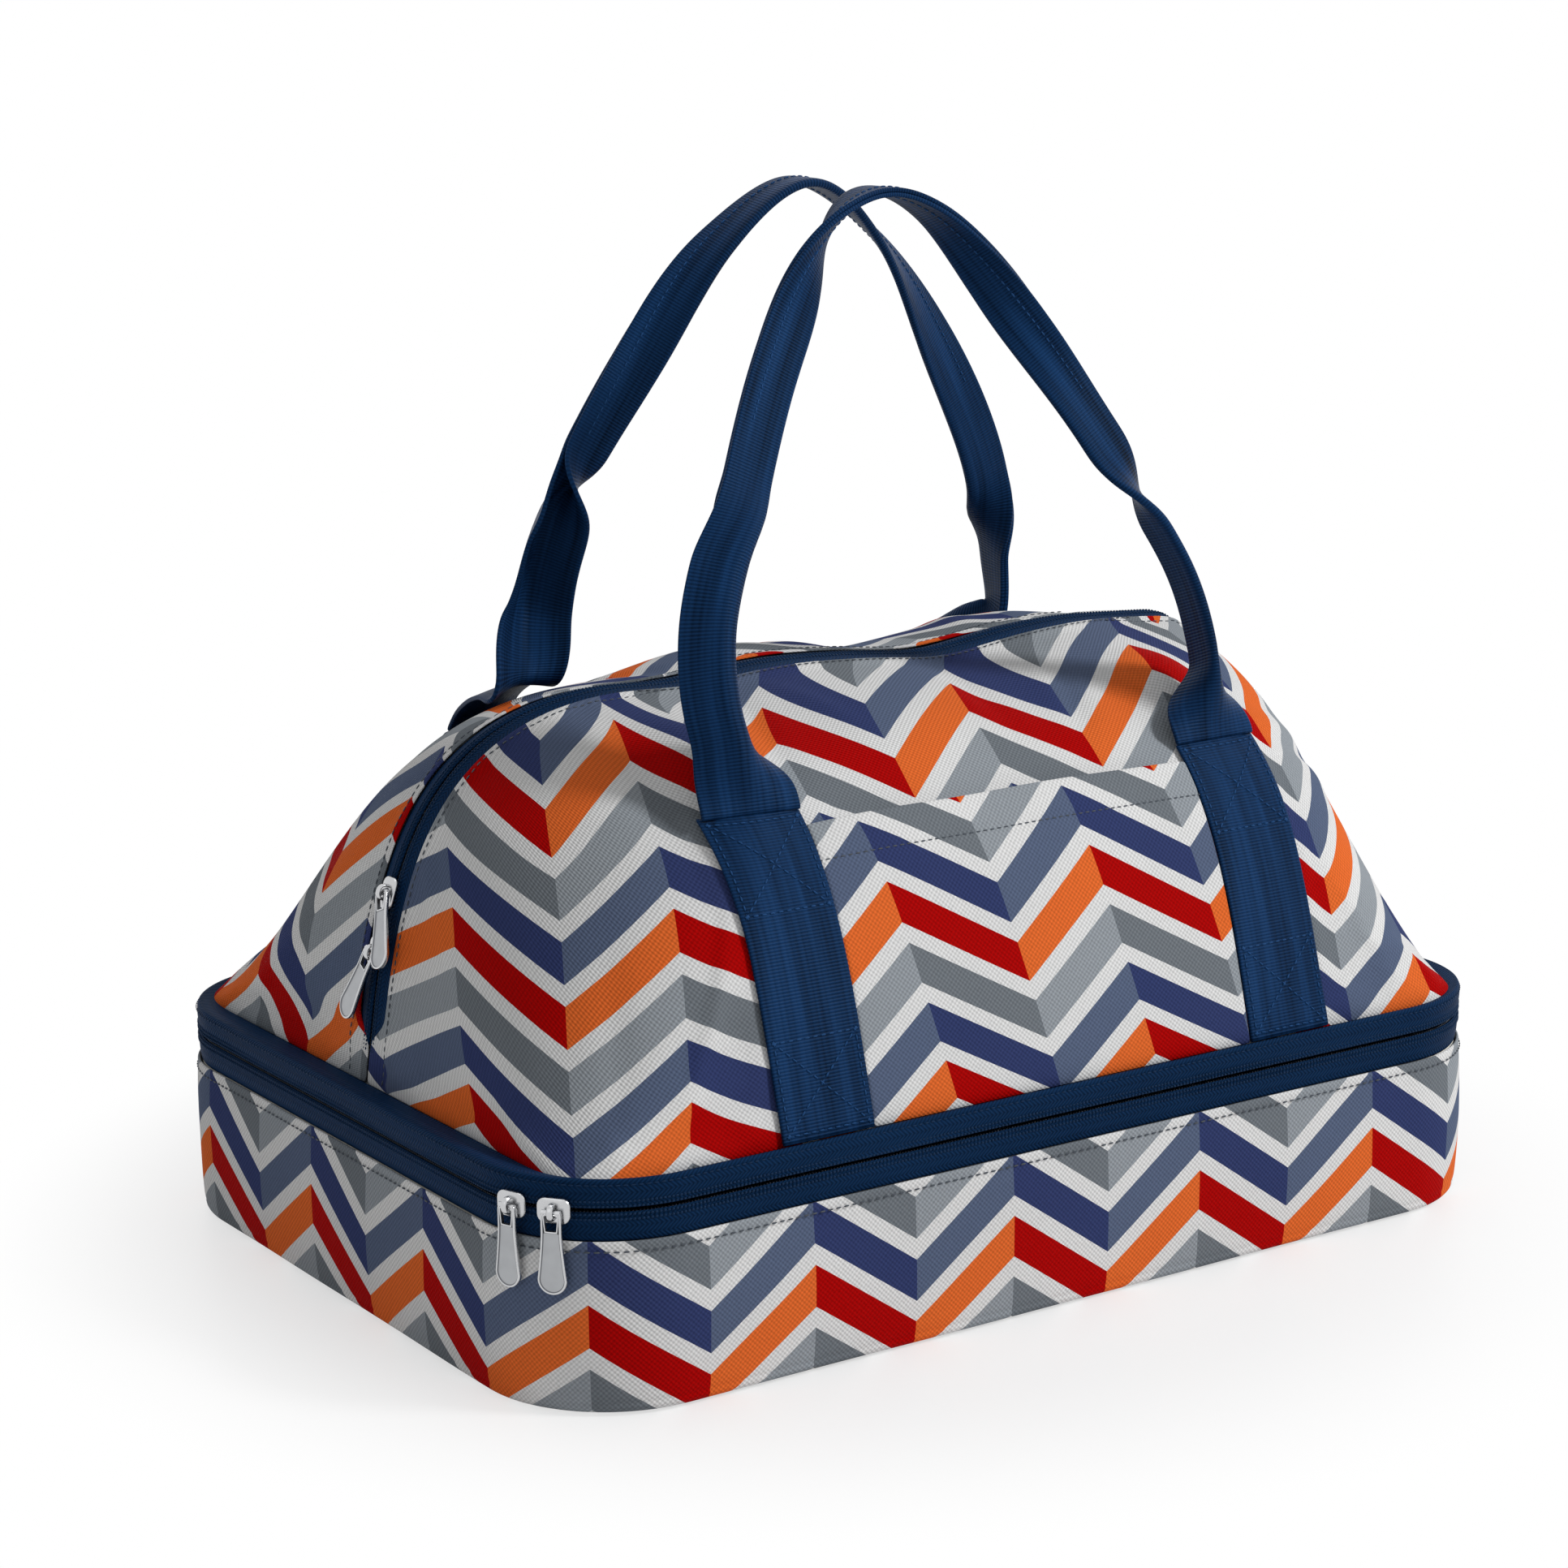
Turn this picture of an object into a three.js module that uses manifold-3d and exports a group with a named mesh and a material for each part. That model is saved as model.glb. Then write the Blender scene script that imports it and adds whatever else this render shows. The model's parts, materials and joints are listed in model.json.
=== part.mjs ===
// Casserole carrier: a padded lower compartment for a dish, and a soft tote above it
// that swings up on a fabric hinge along the back. Millimetres, +Z up, front towards -Y,
// origin at the middle of the flat bottom.
import * as THREE from "three";
import { mergeVertices } from "three/addons/utils/BufferGeometryUtils.js";
import Module from "manifold-3d";

const wasm = await Module();
wasm.setup();

// Lower compartment
const baseLength = 430;
const baseDepth = 312;
const baseCorner = 51;
const bandHeight = 62;
const boardThickness = 2.4;
const foamThickness = 4;

// Cloth, webbing and clearances
const clothThickness = 1.2;
const liningThickness = 0.6;
const webbingThickness = 1.8;
const gap = 0.3;

// Base zip
const tapeHeight = 10;
const tapeThickness = 1.2;
const zipOpening = 1;
const coilSize = 1.5;
const hingeLength = 300;
const tapeInset = 0.5;

// Tote
const endInset = 12;
const frontInset = 6;
const rimCorner = 27;
const toteHeight = 133.7;
const crownDrop = 3;
const endLean = 9;
const endShoulder = 22;
const leftCrown = 105;
const rightCrown = 45;
const frontLean = 35;
const frontShoulder = 12;
const bulgeHeight = 73.7;
const crownShare = 0.97;
const fullRound = 0.95;
const cornerGrowth = 3;
const frontReach = 0.45;
const backReach = 1;
const rimSkirt = 8;
const deckFoam = 4;
const deckLift = 8.2;

// Tote zip
const topTapeHalf = 9;
const topTapeGap = 0.6;
const coilGap = 0.45;
const zipEndRise = 23.7;
const foldDrop = 25;

// Straps, handles and pocket
const strapWidth = 38;
const strapSpacing = 208;
const stitchDrop = 29;
const pocketDrop = 34;
const gripWidth = 20;
const gripThickness = 4;
const frontRise = 208;
const frontCrownOffset = 35.6;
const backRise = 209;
const backCrownOffset = 15.4;
const restClearance = 1.6;
const foldStart = 0.22;
const foldEnd = 0.42;
const liftStart = 0.15;
const liftEnd = 0.35;
const turnStart = 0.8;
const turnEnd = 0.98;

// Zip sliders and pulls
const sliderLength = 12;
const sliderWidth = 9;
const sliderBackWidth = 4;
const plateThickness = 1.6;
const sliderStandOff = 0.9;
const neckThickness = 0.3;
const bridgeWidth = 2.2;
const bridgeSpan = 6.4;
const bridgeBar = 1.1;
const bridgeRise = 2.9;
const pullLength = 29.5;
const pullTopWidth = 7.4;
const pullEndWidth = 10.5;
const pullThickness = 1.6;
const pullBar = 1.8;
const windowLength = 5.6;
const windowWidth = 5.2;
const leftSliderAngle = 20;
const frontSliderAngle = 38;
const lowerSliderRise = 24;
const topSliderSpacing = 21;
const upperPullLean = 24;
const lowerPullLean = -24;

// Mesh fineness
const cornerSteps = 6;
const toteLevels = 11;
const loopSteps = 44;
const roundSides = 8;

// Heights and offsets that follow from the sizes above
const zipLine = bandHeight + gap + tapeHeight + zipOpening / 2;
const tapeTop = zipLine + zipOpening / 2 + tapeHeight;
const deckTop = zipLine + deckLift;
const rimHeight = deckTop + gap;
const crownHeight = rimHeight + toteHeight;
const zipEndHeight = rimHeight + zipEndRise;
const foldHeight = crownHeight - foldDrop;
const stitchHeight = crownHeight - stitchDrop;
const pocketHeight = crownHeight - pocketDrop;
const lowerSliderHeight = zipEndHeight + lowerSliderRise;
const upperSliderHeight = lowerSliderHeight + topSliderSpacing;
const far = 2 * (baseLength + baseDepth);
const rimEnd = baseLength / 2 - endInset;
const rimFront = baseDepth / 2 - frontInset;

const canvas = new THREE.MeshStandardMaterial({ color: 0xd8d8d6, roughness: 0.85 });
const navyWebbing = new THREE.MeshStandardMaterial({ color: 0x163a63, roughness: 0.7 });
const navyTape = new THREE.MeshStandardMaterial({ color: 0x17304f, roughness: 0.75 });
const coilNylon = new THREE.MeshStandardMaterial({ color: 0x0c1420, roughness: 0.5 });
const greyLining = new THREE.MeshStandardMaterial({ color: 0x9a9da0, roughness: 0.6 });
const whiteFoam = new THREE.MeshStandardMaterial({ color: 0xe8e6df, roughness: 0.9 });
const stiffBoard = new THREE.MeshStandardMaterial({ color: 0x3a3b3d, roughness: 0.6 });
const zincSilver = new THREE.MeshStandardMaterial({ color: 0xc6c8ca, roughness: 0.3, metalness: 1 });

const carrier = new THREE.Group();

// Solids and booleans

function solidOf(geometry) {
  const plain = geometry.clone();
  plain.deleteAttribute("normal");
  plain.deleteAttribute("uv");
  const merged = mergeVertices(plain, 1e-4);
  return new wasm.Manifold(
    new wasm.Mesh({
      numProp: 3,
      vertProperties: new Float32Array(merged.attributes.position.array),
      triVerts: new Uint32Array(merged.index.array),
    }),
  );
}

function geometryOf(solid) {
  const mesh = solid.getMesh();
  return new THREE.BufferGeometry()
    .setAttribute("position", new THREE.BufferAttribute(mesh.vertProperties, 3))
    .setIndex(new THREE.BufferAttribute(mesh.triVerts, 1));
}

function addPiece(name, shape, material) {
  const geometry = shape.isBufferGeometry ? shape : geometryOf(shape);
  const mesh = new THREE.Mesh(geometry, material);
  mesh.name = name;
  carrier.add(mesh);
}

function block(low, high) {
  const size = high.map((value, axis) => value - low[axis]);
  const middle = high.map((value, axis) => (value + low[axis]) / 2);
  return solidOf(new THREE.BoxGeometry(...size).translate(...middle));
}

// A closed surface through rings of equal point counts, capped at both ends.
function skin(rings) {
  const count = rings[0].length;
  const points = rings.flat();
  const index = [];
  for (let ring = 0; ring + 1 < rings.length; ring++) {
    for (let i = 0; i < count; i++) {
      const next = (i + 1) % count;
      const [p, q] = [ring * count + i, ring * count + next];
      index.push(p, q, q + count, p, q + count, p + count);
    }
  }
  [0, rings.length - 1].forEach((ring) => {
    const centre = points.length;
    const middle = new THREE.Vector3();
    rings[ring].forEach((point) => middle.addScaledVector(point, 1 / count));
    points.push(middle);
    for (let i = 0; i < count; i++) {
      const [p, q] = [ring * count + i, ring * count + ((i + 1) % count)];
      index.push(centre, ...(ring ? [p, q] : [q, p]));
    }
  });
  return new THREE.BufferGeometry().setFromPoints(points).setIndex(index);
}

// A rounded rectangle with half sizes a and b and corner radius r, at height z. The left half
// may be a little shorter than the right one, and each corner may reach further along X.
function roundedRing({ a, left = a, b, r, reach = [r, r, r, r], z }) {
  const [p, q, s, t] = reach;
  const centres = [[a - p, b - r], [q - left, b - r], [s - left, r - b], [a - t, r - b]];
  return centres.flatMap(([x, y], quarter) =>
    Array.from({ length: cornerSteps + 1 }, (unused, step) => {
      const angle = ((quarter + step / cornerSteps) * Math.PI) / 2;
      return new THREE.Vector3(x + reach[quarter] * Math.cos(angle), y + r * Math.sin(angle), z);
    }),
  );
}

const loft = (levels) => solidOf(skin(levels.map(roundedRing)));

// The base outline drawn in by an inset, as a plate or a ring.
function baseLevel(inset, z) {
  return { a: baseLength / 2 - inset, b: baseDepth / 2 - inset, r: baseCorner - inset, z };
}

function basePlate(inset, low, high) {
  return loft([baseLevel(inset, low), baseLevel(inset, high)]);
}

function baseRing(inset, thickness, low, high) {
  return basePlate(inset, low, high).subtract(basePlate(inset + thickness, low - 1, high + 1));
}

// Lower compartment: cloth outside, foam and board within, lining inside

const bottomTop = clothThickness;
const boardTop = bottomTop + gap + boardThickness;
const floorFoamTop = boardTop + gap + foamThickness;
const insideBand = clothThickness + gap;
const insideFoam = insideBand + foamThickness + gap;
const paddingTop = bandHeight - gap;

addPiece("base_side_band", baseRing(0, clothThickness, 0, bandHeight), canvas);
addPiece("base_bottom_panel", basePlate(insideBand, 0, bottomTop), canvas);
addPiece("base_bottom_board", basePlate(insideBand, bottomTop + gap, boardTop), stiffBoard);
addPiece("base_bottom_foam", basePlate(insideBand, boardTop + gap, floorFoamTop), whiteFoam);
addPiece("base_side_foam", baseRing(insideBand, foamThickness, floorFoamTop + gap, paddingTop), whiteFoam);
const liningTub = basePlate(insideFoam, floorFoamTop + gap, paddingTop).subtract(
  basePlate(insideFoam + liningThickness, floorFoamTop + gap + liningThickness, paddingTop + 1),
);
addPiece("base_lining", liningTub, greyLining);

// Base zip: a tape and coil on each side, round three sides, and the fabric hinge at the back

const rearGap = (half) => block([-half, 0, -far], [half, far, far]);
const lowerTape = baseRing(tapeInset, tapeThickness, bandHeight + gap, zipLine - zipOpening / 2);
const upperBottom = zipLine + zipOpening / 2;

const upperTape = baseRing(tapeInset, tapeThickness, upperBottom, tapeTop);
const coilInset = tapeInset + tapeThickness + gap;
const lowerCoil = baseRing(coilInset, coilSize, zipLine - gap - coilSize, zipLine - gap);
const upperCoil = baseRing(coilInset, coilSize, zipLine + gap, zipLine + gap + coilSize);
const zipCut = rearGap(hingeLength / 2);
const hingeSpan = rearGap(hingeLength / 2 - gap);

addPiece("base_zip_tape_lower", lowerTape.subtract(zipCut), navyTape);
addPiece("base_zip_coil_lower", lowerCoil.subtract(zipCut), coilNylon);
addPiece("hinge_strip_lower", lowerTape.intersect(hingeSpan), navyTape);
addPiece("lid_zip_tape_upper", upperTape.subtract(zipCut), navyTape);
addPiece("lid_zip_coil_upper", upperCoil.subtract(zipCut), coilNylon);
addPiece("hinge_strip_upper", upperTape.intersect(hingeSpan), navyTape);

// Tote floor: lining, foam and lining, held inside the upper tape

const deckFoamTop = deckTop - liningThickness - gap;
const deckFoamBottom = deckFoamTop - deckFoam;
const deckUnderside = deckFoamBottom - gap;
const insideCoil = coilInset + coilSize + gap;
addPiece("deck_upper_lining", basePlate(coilInset, deckTop - liningThickness, deckTop), greyLining);
addPiece("deck_foam", basePlate(coilInset, deckFoamBottom, deckFoamTop), whiteFoam);
const deckLining = basePlate(insideCoil, deckUnderside - liningThickness, deckUnderside);
addPiece("deck_lower_lining", deckLining, greyLining);

// Tote skin: stacked rounded outlines that lean in and close over a soft crown

function bezier(share, [p, q, r, s]) {
  const rest = 1 - share;
  return p * rest ** 3 + 3 * q * share * rest ** 2 + 3 * r * share ** 2 * rest + s * share ** 3;
}
const endProfile = (crown) => [rimEnd, rimEnd - endLean, rimEnd - endShoulder, rimEnd - crown];
const frontProfile = [rimFront, rimFront - frontLean, rimFront - frontShoulder, 0];
const heightProfile = [rimHeight, rimHeight + bulgeHeight, crownHeight - crownDrop, crownHeight];

function toteLevel(share, inset) {
  const front = bezier(share, frontProfile);
  const right = bezier(share, endProfile(rightCrown));
  const left = bezier(share, endProfile(leftCrown));
  const softness = 1 - (1 - share) ** cornerGrowth;
  const corner = (full) => THREE.MathUtils.lerp(rimCorner, full, softness) - inset;
  return {
    a: right - inset,
    left: left - inset,
    b: front - inset,
    r: corner(front * fullRound),
    reach: [right * backReach, left * backReach, left * frontReach, right * frontReach].map(corner),
    z: bezier(share, heightProfile) - inset,
  };
}

// How far the outline of a level stands from the mid-plane, front (-1) or back (+1), at a given x.
function depthAt({ a, left, b, r, reach }, side, x) {
  const quarter = side > 0 ? Number(x < 0) : 3 - Number(x < 0);
  const past = Math.abs(x) - ((x < 0 ? left : a) - reach[quarter]);
  return b - r + r * Math.sqrt(1 - (Math.max(0, past) / reach[quarter]) ** 2);
}

function toteBody(inset) {
  const levels = Array.from({ length: toteLevels + 1 }, (unused, level) =>
    toteLevel((crownShare * level) / toteLevels, inset),
  );
  return loft([{ ...levels[0], z: rimHeight - rimSkirt }, ...levels]);
}

const aboveRim = block([-far, -far, rimHeight], [far, far, far]);
function toteLayer(inset, thickness) {
  return toteBody(inset).subtract(toteBody(inset + thickness)).intersect(aboveRim);
}

// The share of the way up the skin at a given height.
function shareAt(height) {
  let [low, high] = [0, 1];
  for (let step = 0; step < 40; step++) {
    const middle = (low + high) / 2;
    if (bezier(middle, heightProfile) < height) low = middle;
    else high = middle;
  }
  return low;
}
const endAt = (height) => bezier(shareAt(height), endProfile(leftCrown));

// Everything in front of (-1) or behind (+1) the zip, down to the closed seam below its ends.
function toteSide(side, edge, seam) {
  const beside = side < 0 ? [[-far, -far, -far], [far, -edge, far]] : [[-far, edge, -far], [far, far, far]];
  const below =
    side < 0
      ? [[-far, -far, -far], [far, -seam, zipEndHeight - gap]]
      : [[-far, seam, -far], [far, far, zipEndHeight - gap]];
  return block(...beside).add(block(...below));
}
const aboveFold = block([-far, -far, foldHeight + gap / 2], [far, far, far]);
const belowFold = block([-far, -far, -far], [far, far, foldHeight - gap / 2]);
const aboveZipEnd = block([-far, -far, zipEndHeight], [far, far, far]);
const leftHalf = block([-far, -far, -far], [0, far, far]);
const rightHalf = block([0, -far, -far], [far, far, far]);

const toteCloth = toteLayer(0, clothThickness);
const frontCloth = toteCloth.intersect(toteSide(-1, topTapeHalf + gap, gap / 2));
addPiece("front_panel", frontCloth.intersect(belowFold), canvas);
addPiece("front_roof", frontCloth.intersect(aboveFold), canvas);
addPiece("back_panel", toteCloth.intersect(toteSide(1, topTapeHalf + gap, gap / 2)), canvas);

const liningInset = clothThickness + gap;
const liningEdge = coilGap + coilSize + gap;
const toteLining = toteLayer(liningInset, liningThickness);
const frontLining = toteLining.intersect(toteSide(-1, liningEdge, liningEdge));
addPiece("front_lining", frontLining.intersect(belowFold), greyLining);
addPiece("front_roof_lining", frontLining.intersect(aboveFold), greyLining);
addPiece("back_lining", toteLining.intersect(toteSide(1, liningEdge, liningEdge)), greyLining);

// Tote zip: the front half is cut at the fold, so the roof can open

function zipSlice(layer, side, near, wide) {
  const [low, high] = side < 0 ? [-wide, -near] : [near, wide];
  return layer.intersect(block([-far, low, -far], [far, high, far])).intersect(aboveZipEnd);
}
const tapeLayer = toteLayer(gap / 2, tapeThickness - gap / 2);
const coilLayer = toteLayer(liningInset, coilSize);
[
  ["tape", tapeLayer, topTapeGap, topTapeHalf, navyTape],
  ["coil", coilLayer, coilGap, coilGap + coilSize, coilNylon],
].forEach(([kind, layer, near, wide, material]) => {
  const front = zipSlice(layer, -1, near, wide);
  const frontEnds = front.intersect(belowFold);
  addPiece(`top_zip_${kind}_back`, zipSlice(layer, 1, near, wide), material);
  addPiece(`top_zip_${kind}_front`, front.intersect(aboveFold), material);
  addPiece(`top_zip_${kind}_left_end`, frontEnds.intersect(leftHalf), material);
  addPiece(`top_zip_${kind}_right_end`, frontEnds.intersect(rightHalf), material);
});

// Straps sewn up the panels and the slip pocket between them

const overCloth = toteLayer(-gap - webbingThickness, webbingThickness);
const strapHalf = strapWidth / 2;
const strapMiddle = strapSpacing / 2;
[["front", -1], ["back", 1]].forEach(([face, side]) => {
  [["left", -1], ["right", 1]].forEach(([hand, way]) => {
    const [nearY, farY] = side < 0 ? [-far, 0] : [0, far];
    const column = block(
      [way * strapMiddle - strapHalf, nearY, -far],
      [way * strapMiddle + strapHalf, farY, stitchHeight],
    );
    addPiece(`strap_${face}_${hand}`, overCloth.intersect(column), navyWebbing);
  });
});
const pocketHalf = strapMiddle - strapHalf - gap;
const pocketLayer = toteLayer(-gap - clothThickness, clothThickness);
const pocketColumn = block([-pocketHalf, -far, -far], [pocketHalf, 0, pocketHeight]);
addPiece("slip_pocket", pocketLayer.intersect(pocketColumn), canvas);

// Carry handles: webbing that leaves the top stitch, folds to a narrow grip and turns over at the
// top. Stations run from strap to crown as shares of half spacing, of the way in, and of the rise.

const frontStations = [
  [1, 0, 0], [1, 0.05, 0.05], [1.03, 0.18, 0.17], [1, 0.29, 0.285],
  [0.88, 0.42, 0.42], [0.56, 0.73, 0.71], [0.2, 0.95, 0.945], [0, 1, 0.985],
];
const backStations = [
  [1.12, 0.62, 0.24], [0.95, 0.77, 0.43], [0.67, 0.88, 0.67], [0.34, 0.95, 0.885], [0, 1, 0.985],
];
const restingSpots = [[1, 0], [1, 0.05], [1.03, 0.12], [1.06, 0.18], [1.09, 0.25]];

const smooth = (low, high, value) => THREE.MathUtils.smoothstep(value, low, high);
const seatInset = -gap - webbingThickness / 2;
const loopStart = stitchHeight + 3 * gap;

// The level that webbing lies on, a share of the skin above the top stitch.
function seatLevel(further) {
  const clearance = further > 0 ? restClearance : 0;
  return toteLevel(shareAt(loopStart + seatInset) + further, seatInset - clearance);
}

function stationPoints(side, way, stations, crownOffset, rise) {
  const seat = depthAt(seatLevel(0), side, way * strapMiddle);
  return stations.map(([across, inward, up]) => {
    const depth = THREE.MathUtils.lerp(seat, crownOffset, inward);
    return new THREE.Vector3(way * across * strapMiddle, side * depth, loopStart + up * rise);
  });
}

// Where the back handle lies on the roof before it rises.
function roofPoints(side, way, spots) {
  return spots.map(([across, further]) => {
    const level = seatLevel(further);
    const x = way * across * strapMiddle;
    return new THREE.Vector3(x, side * depthAt(level, side, x), level.z);
  });
}

// How the skin turns away across a strap, as the rise in y along x.
function seatSlope(side, way) {
  const at = (x) => side * depthAt(seatLevel(0), side, way * strapMiddle + x);
  return (at(strapHalf / 2) - at(-strapHalf / 2)) / strapHalf;
}

function handleLoop(side, legOf) {
  const [leftLeg, rightLeg] = [legOf(-1), legOf(1)];
  const crown = leftLeg.at(-1).clone().add(rightLeg.at(-1)).divideScalar(2);
  const points = [...leftLeg.slice(0, -1), crown, ...rightLeg.slice(0, -1).reverse()];
  const path = new THREE.CatmullRomCurve3(points, false, "centripetal");
  const rings = path.getSpacedPoints(loopSteps).map((point, step) => {
    const share = step / loopSteps;
    const fromEnd = 2 * Math.min(share, 1 - share);
    const along = path.getTangentAt(share);
    const lifted = smooth(liftStart, liftEnd, fromEnd);
    const slope = seatSlope(side, Math.sign(share - 0.5)) * (1 - lifted);
    const across = new THREE.Vector3(1, slope, 0);
    const flat = across.addScaledVector(along, -lifted * across.dot(along)).normalize();
    const inPlane = step * 2 === loopSteps ? new THREE.Vector3() : flat;
    const out = new THREE.Vector3(0, side, 0).addScaledVector(along, -side * along.y).normalize();
    const turn = (smooth(turnStart, turnEnd, fromEnd) * Math.PI) / 2;
    const wide = out.clone().multiplyScalar(Math.sin(turn));
    wide.addScaledVector(inPlane, Math.sign(share - 0.5) * Math.cos(turn)).normalize();
    const thick = along.clone().cross(wide).normalize();
    const fold = smooth(foldStart, foldEnd, fromEnd);
    const halfWide = THREE.MathUtils.lerp(strapWidth, gripWidth, fold) / 2;
    const halfThick = THREE.MathUtils.lerp(webbingThickness, gripThickness, fold) / 2;
    return [[-1, -1], [1, -1], [1, 1], [-1, 1]].map(([w, t]) =>
      point.clone().addScaledVector(wide, w * halfWide).addScaledVector(thick, t * halfThick),
    );
  });
  return skin(rings);
}
const frontLeg = (way) => stationPoints(-1, way, frontStations, frontCrownOffset, frontRise);
const backLeg = (way) => [
  ...roofPoints(1, way, restingSpots),
  ...stationPoints(1, way, backStations, backCrownOffset, backRise),
];
addPiece("front_handle_loop", handleLoop(-1, frontLeg), navyWebbing);
addPiece("back_handle_loop", handleLoop(1, backLeg), navyWebbing);

// Zip sliders. Each is drawn lying on a zip that runs along X, with its outer face towards +Z
// and its pull hanging towards -Y or -X, and is then set on its zip.

const plateTop = sliderStandOff + plateThickness;
const pullAxis = plateTop + bridgeRise / 2;
const baseZipDepth = coilInset - tapeInset + coilSize;
const topZipDepth = Math.SQRT2 * (liningInset + coilSize);

function sliderBody(alongZip, zipDepth) {
  const backPlateTop = -zipDepth - sliderStandOff;
  const [halfLength, halfWidth] = [sliderLength / 2, sliderWidth / 2];
  const plate = block([-halfLength, -halfWidth, sliderStandOff], [halfLength, halfWidth, plateTop]);
  const backHalf = sliderBackWidth / 2;
  const lowerPlate = block(
    [-halfLength, -backHalf, backPlateTop - plateThickness],
    [halfLength, backHalf, backPlateTop],
  );
  const neck = block(
    [-sliderLength / 5, -neckThickness / 2, backPlateTop - 0.1],
    [sliderLength / 5, neckThickness / 2, sliderStandOff + 0.1],
  );
  const [span, half] = [bridgeSpan / 2, bridgeWidth / 2];
  const outer = block([-half, -span, plateTop - 0.1], [half, span, plateTop + bridgeRise + bridgeBar]);
  const inner = block([-far, bridgeBar - span, plateTop - 1], [far, span - bridgeBar, plateTop + bridgeRise]);
  const bridge = outer.subtract(inner);
  return plate.add(lowerPlate).add(neck).add(alongZip ? bridge.rotate([0, 0, 90]) : bridge);
}

// A teardrop tab whose top bar is the axle; it hangs towards -Y from the origin.
function pullTab() {
  const endRadius = pullEndWidth / 2;
  const topHalf = pullTopWidth / 2;
  const shape = new THREE.Shape();
  const endCentre = pullBar / 2 - pullLength + endRadius;
  shape.moveTo(topHalf, 0);
  shape.lineTo(topHalf, -windowLength - pullBar);
  shape.lineTo(endRadius, endCentre);
  shape.absarc(0, endCentre, endRadius, 0, -Math.PI, true);
  shape.lineTo(-topHalf, -windowLength - pullBar);
  shape.lineTo(-topHalf, 0);
  const tab = solidOf(
    new THREE.ExtrudeGeometry(shape, { depth: pullThickness, bevelEnabled: false, curveSegments: 10 }),
  ).translate([0, 0, -pullThickness / 2]);
  const barStart = pullBar / 2;
  const window = block(
    [-windowWidth / 2, -barStart - windowLength, -far],
    [windowWidth / 2, 1, far],
  );
  const bar = solidOf(
    new THREE.CylinderGeometry(barStart, barStart, pullTopWidth, roundSides)
      .rotateY(Math.PI / roundSides)
      .rotateZ(Math.PI / 2),
  );
  return tab.subtract(window).add(bar);
}

// Right, up and out make the frame that a slider or pull is set in.
function placed(name, shape, at, right, up, out) {
  const geometry = geometryOf(shape);
  const frame = new THREE.Matrix4().makeBasis(right, up, out).setPosition(at);
  const mesh = new THREE.Mesh(geometry, zincSilver);
  mesh.name = name;
  mesh.applyMatrix4(frame);
  carrier.add(mesh);
}

const vertical = new THREE.Vector3(0, 0, 1);
[["left", leftSliderAngle], ["front", frontSliderAngle]].forEach(([hand, degrees]) => {
  const angle = Math.PI + THREE.MathUtils.degToRad(degrees);
  const out = new THREE.Vector3(Math.cos(angle), Math.sin(angle), 0);
  const right = new THREE.Vector3().crossVectors(vertical, out);
  const at = new THREE.Vector3(baseCorner - baseLength / 2, baseCorner - baseDepth / 2, zipLine);
  at.addScaledVector(out, baseCorner - tapeInset);
  placed(`base_slider_${hand}`, sliderBody(false, baseZipDepth), at, right, vertical, out);
  const hung = at.clone().addScaledVector(out, pullAxis);
  placed(`base_pull_${hand}`, pullTab(), hung, right, vertical, out);
});

const transverse = new THREE.Vector3(0, -1, 0);
[
  ["upper", upperSliderHeight, upperPullLean],
  ["lower", lowerSliderHeight, lowerPullLean],
].forEach(([level, height, lean]) => {
  const reach = sliderLength / 2;
  const low = new THREE.Vector3(-endAt(height - reach), 0, height - reach);
  const high = new THREE.Vector3(-endAt(height + reach), 0, height + reach);
  const at = new THREE.Vector3(-endAt(height), 0, height);
  const up = high.sub(low).normalize();
  const out = new THREE.Vector3().crossVectors(transverse, up);
  placed(`top_slider_${level}`, sliderBody(true, topZipDepth), at, up, transverse.clone().negate(), out);
  const turned = THREE.MathUtils.degToRad(lean);
  const pullUp = up.clone().applyAxisAngle(out, turned);
  const pullRight = transverse.clone().applyAxisAngle(out, turned);
  const hung = at.clone().addScaledVector(out, pullAxis);
  placed(`top_pull_${level}`, pullTab(), hung, pullRight, pullUp, out);
});

export default carrier;
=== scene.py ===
import json
import math

import bpy
import numpy as np
from mathutils import Matrix, Vector


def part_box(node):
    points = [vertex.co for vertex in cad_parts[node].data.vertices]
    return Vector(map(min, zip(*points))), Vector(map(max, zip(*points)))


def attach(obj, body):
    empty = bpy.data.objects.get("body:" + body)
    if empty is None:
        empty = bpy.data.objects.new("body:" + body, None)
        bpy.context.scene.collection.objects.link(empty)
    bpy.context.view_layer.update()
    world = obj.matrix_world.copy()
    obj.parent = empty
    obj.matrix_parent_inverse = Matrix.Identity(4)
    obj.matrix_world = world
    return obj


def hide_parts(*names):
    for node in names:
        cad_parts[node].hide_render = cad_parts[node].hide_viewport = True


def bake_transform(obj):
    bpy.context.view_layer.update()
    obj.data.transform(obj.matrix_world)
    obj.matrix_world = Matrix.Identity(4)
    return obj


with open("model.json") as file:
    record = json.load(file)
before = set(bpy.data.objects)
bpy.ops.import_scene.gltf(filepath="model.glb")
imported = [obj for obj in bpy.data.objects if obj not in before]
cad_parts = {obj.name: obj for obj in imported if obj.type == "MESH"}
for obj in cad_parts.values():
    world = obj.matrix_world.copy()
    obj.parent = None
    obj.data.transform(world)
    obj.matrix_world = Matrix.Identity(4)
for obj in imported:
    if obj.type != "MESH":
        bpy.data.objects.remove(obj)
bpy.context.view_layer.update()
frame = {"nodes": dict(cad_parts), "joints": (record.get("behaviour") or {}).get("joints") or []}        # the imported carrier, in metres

mm = 0.001               # the shapes below are worked out in millimetres


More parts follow.
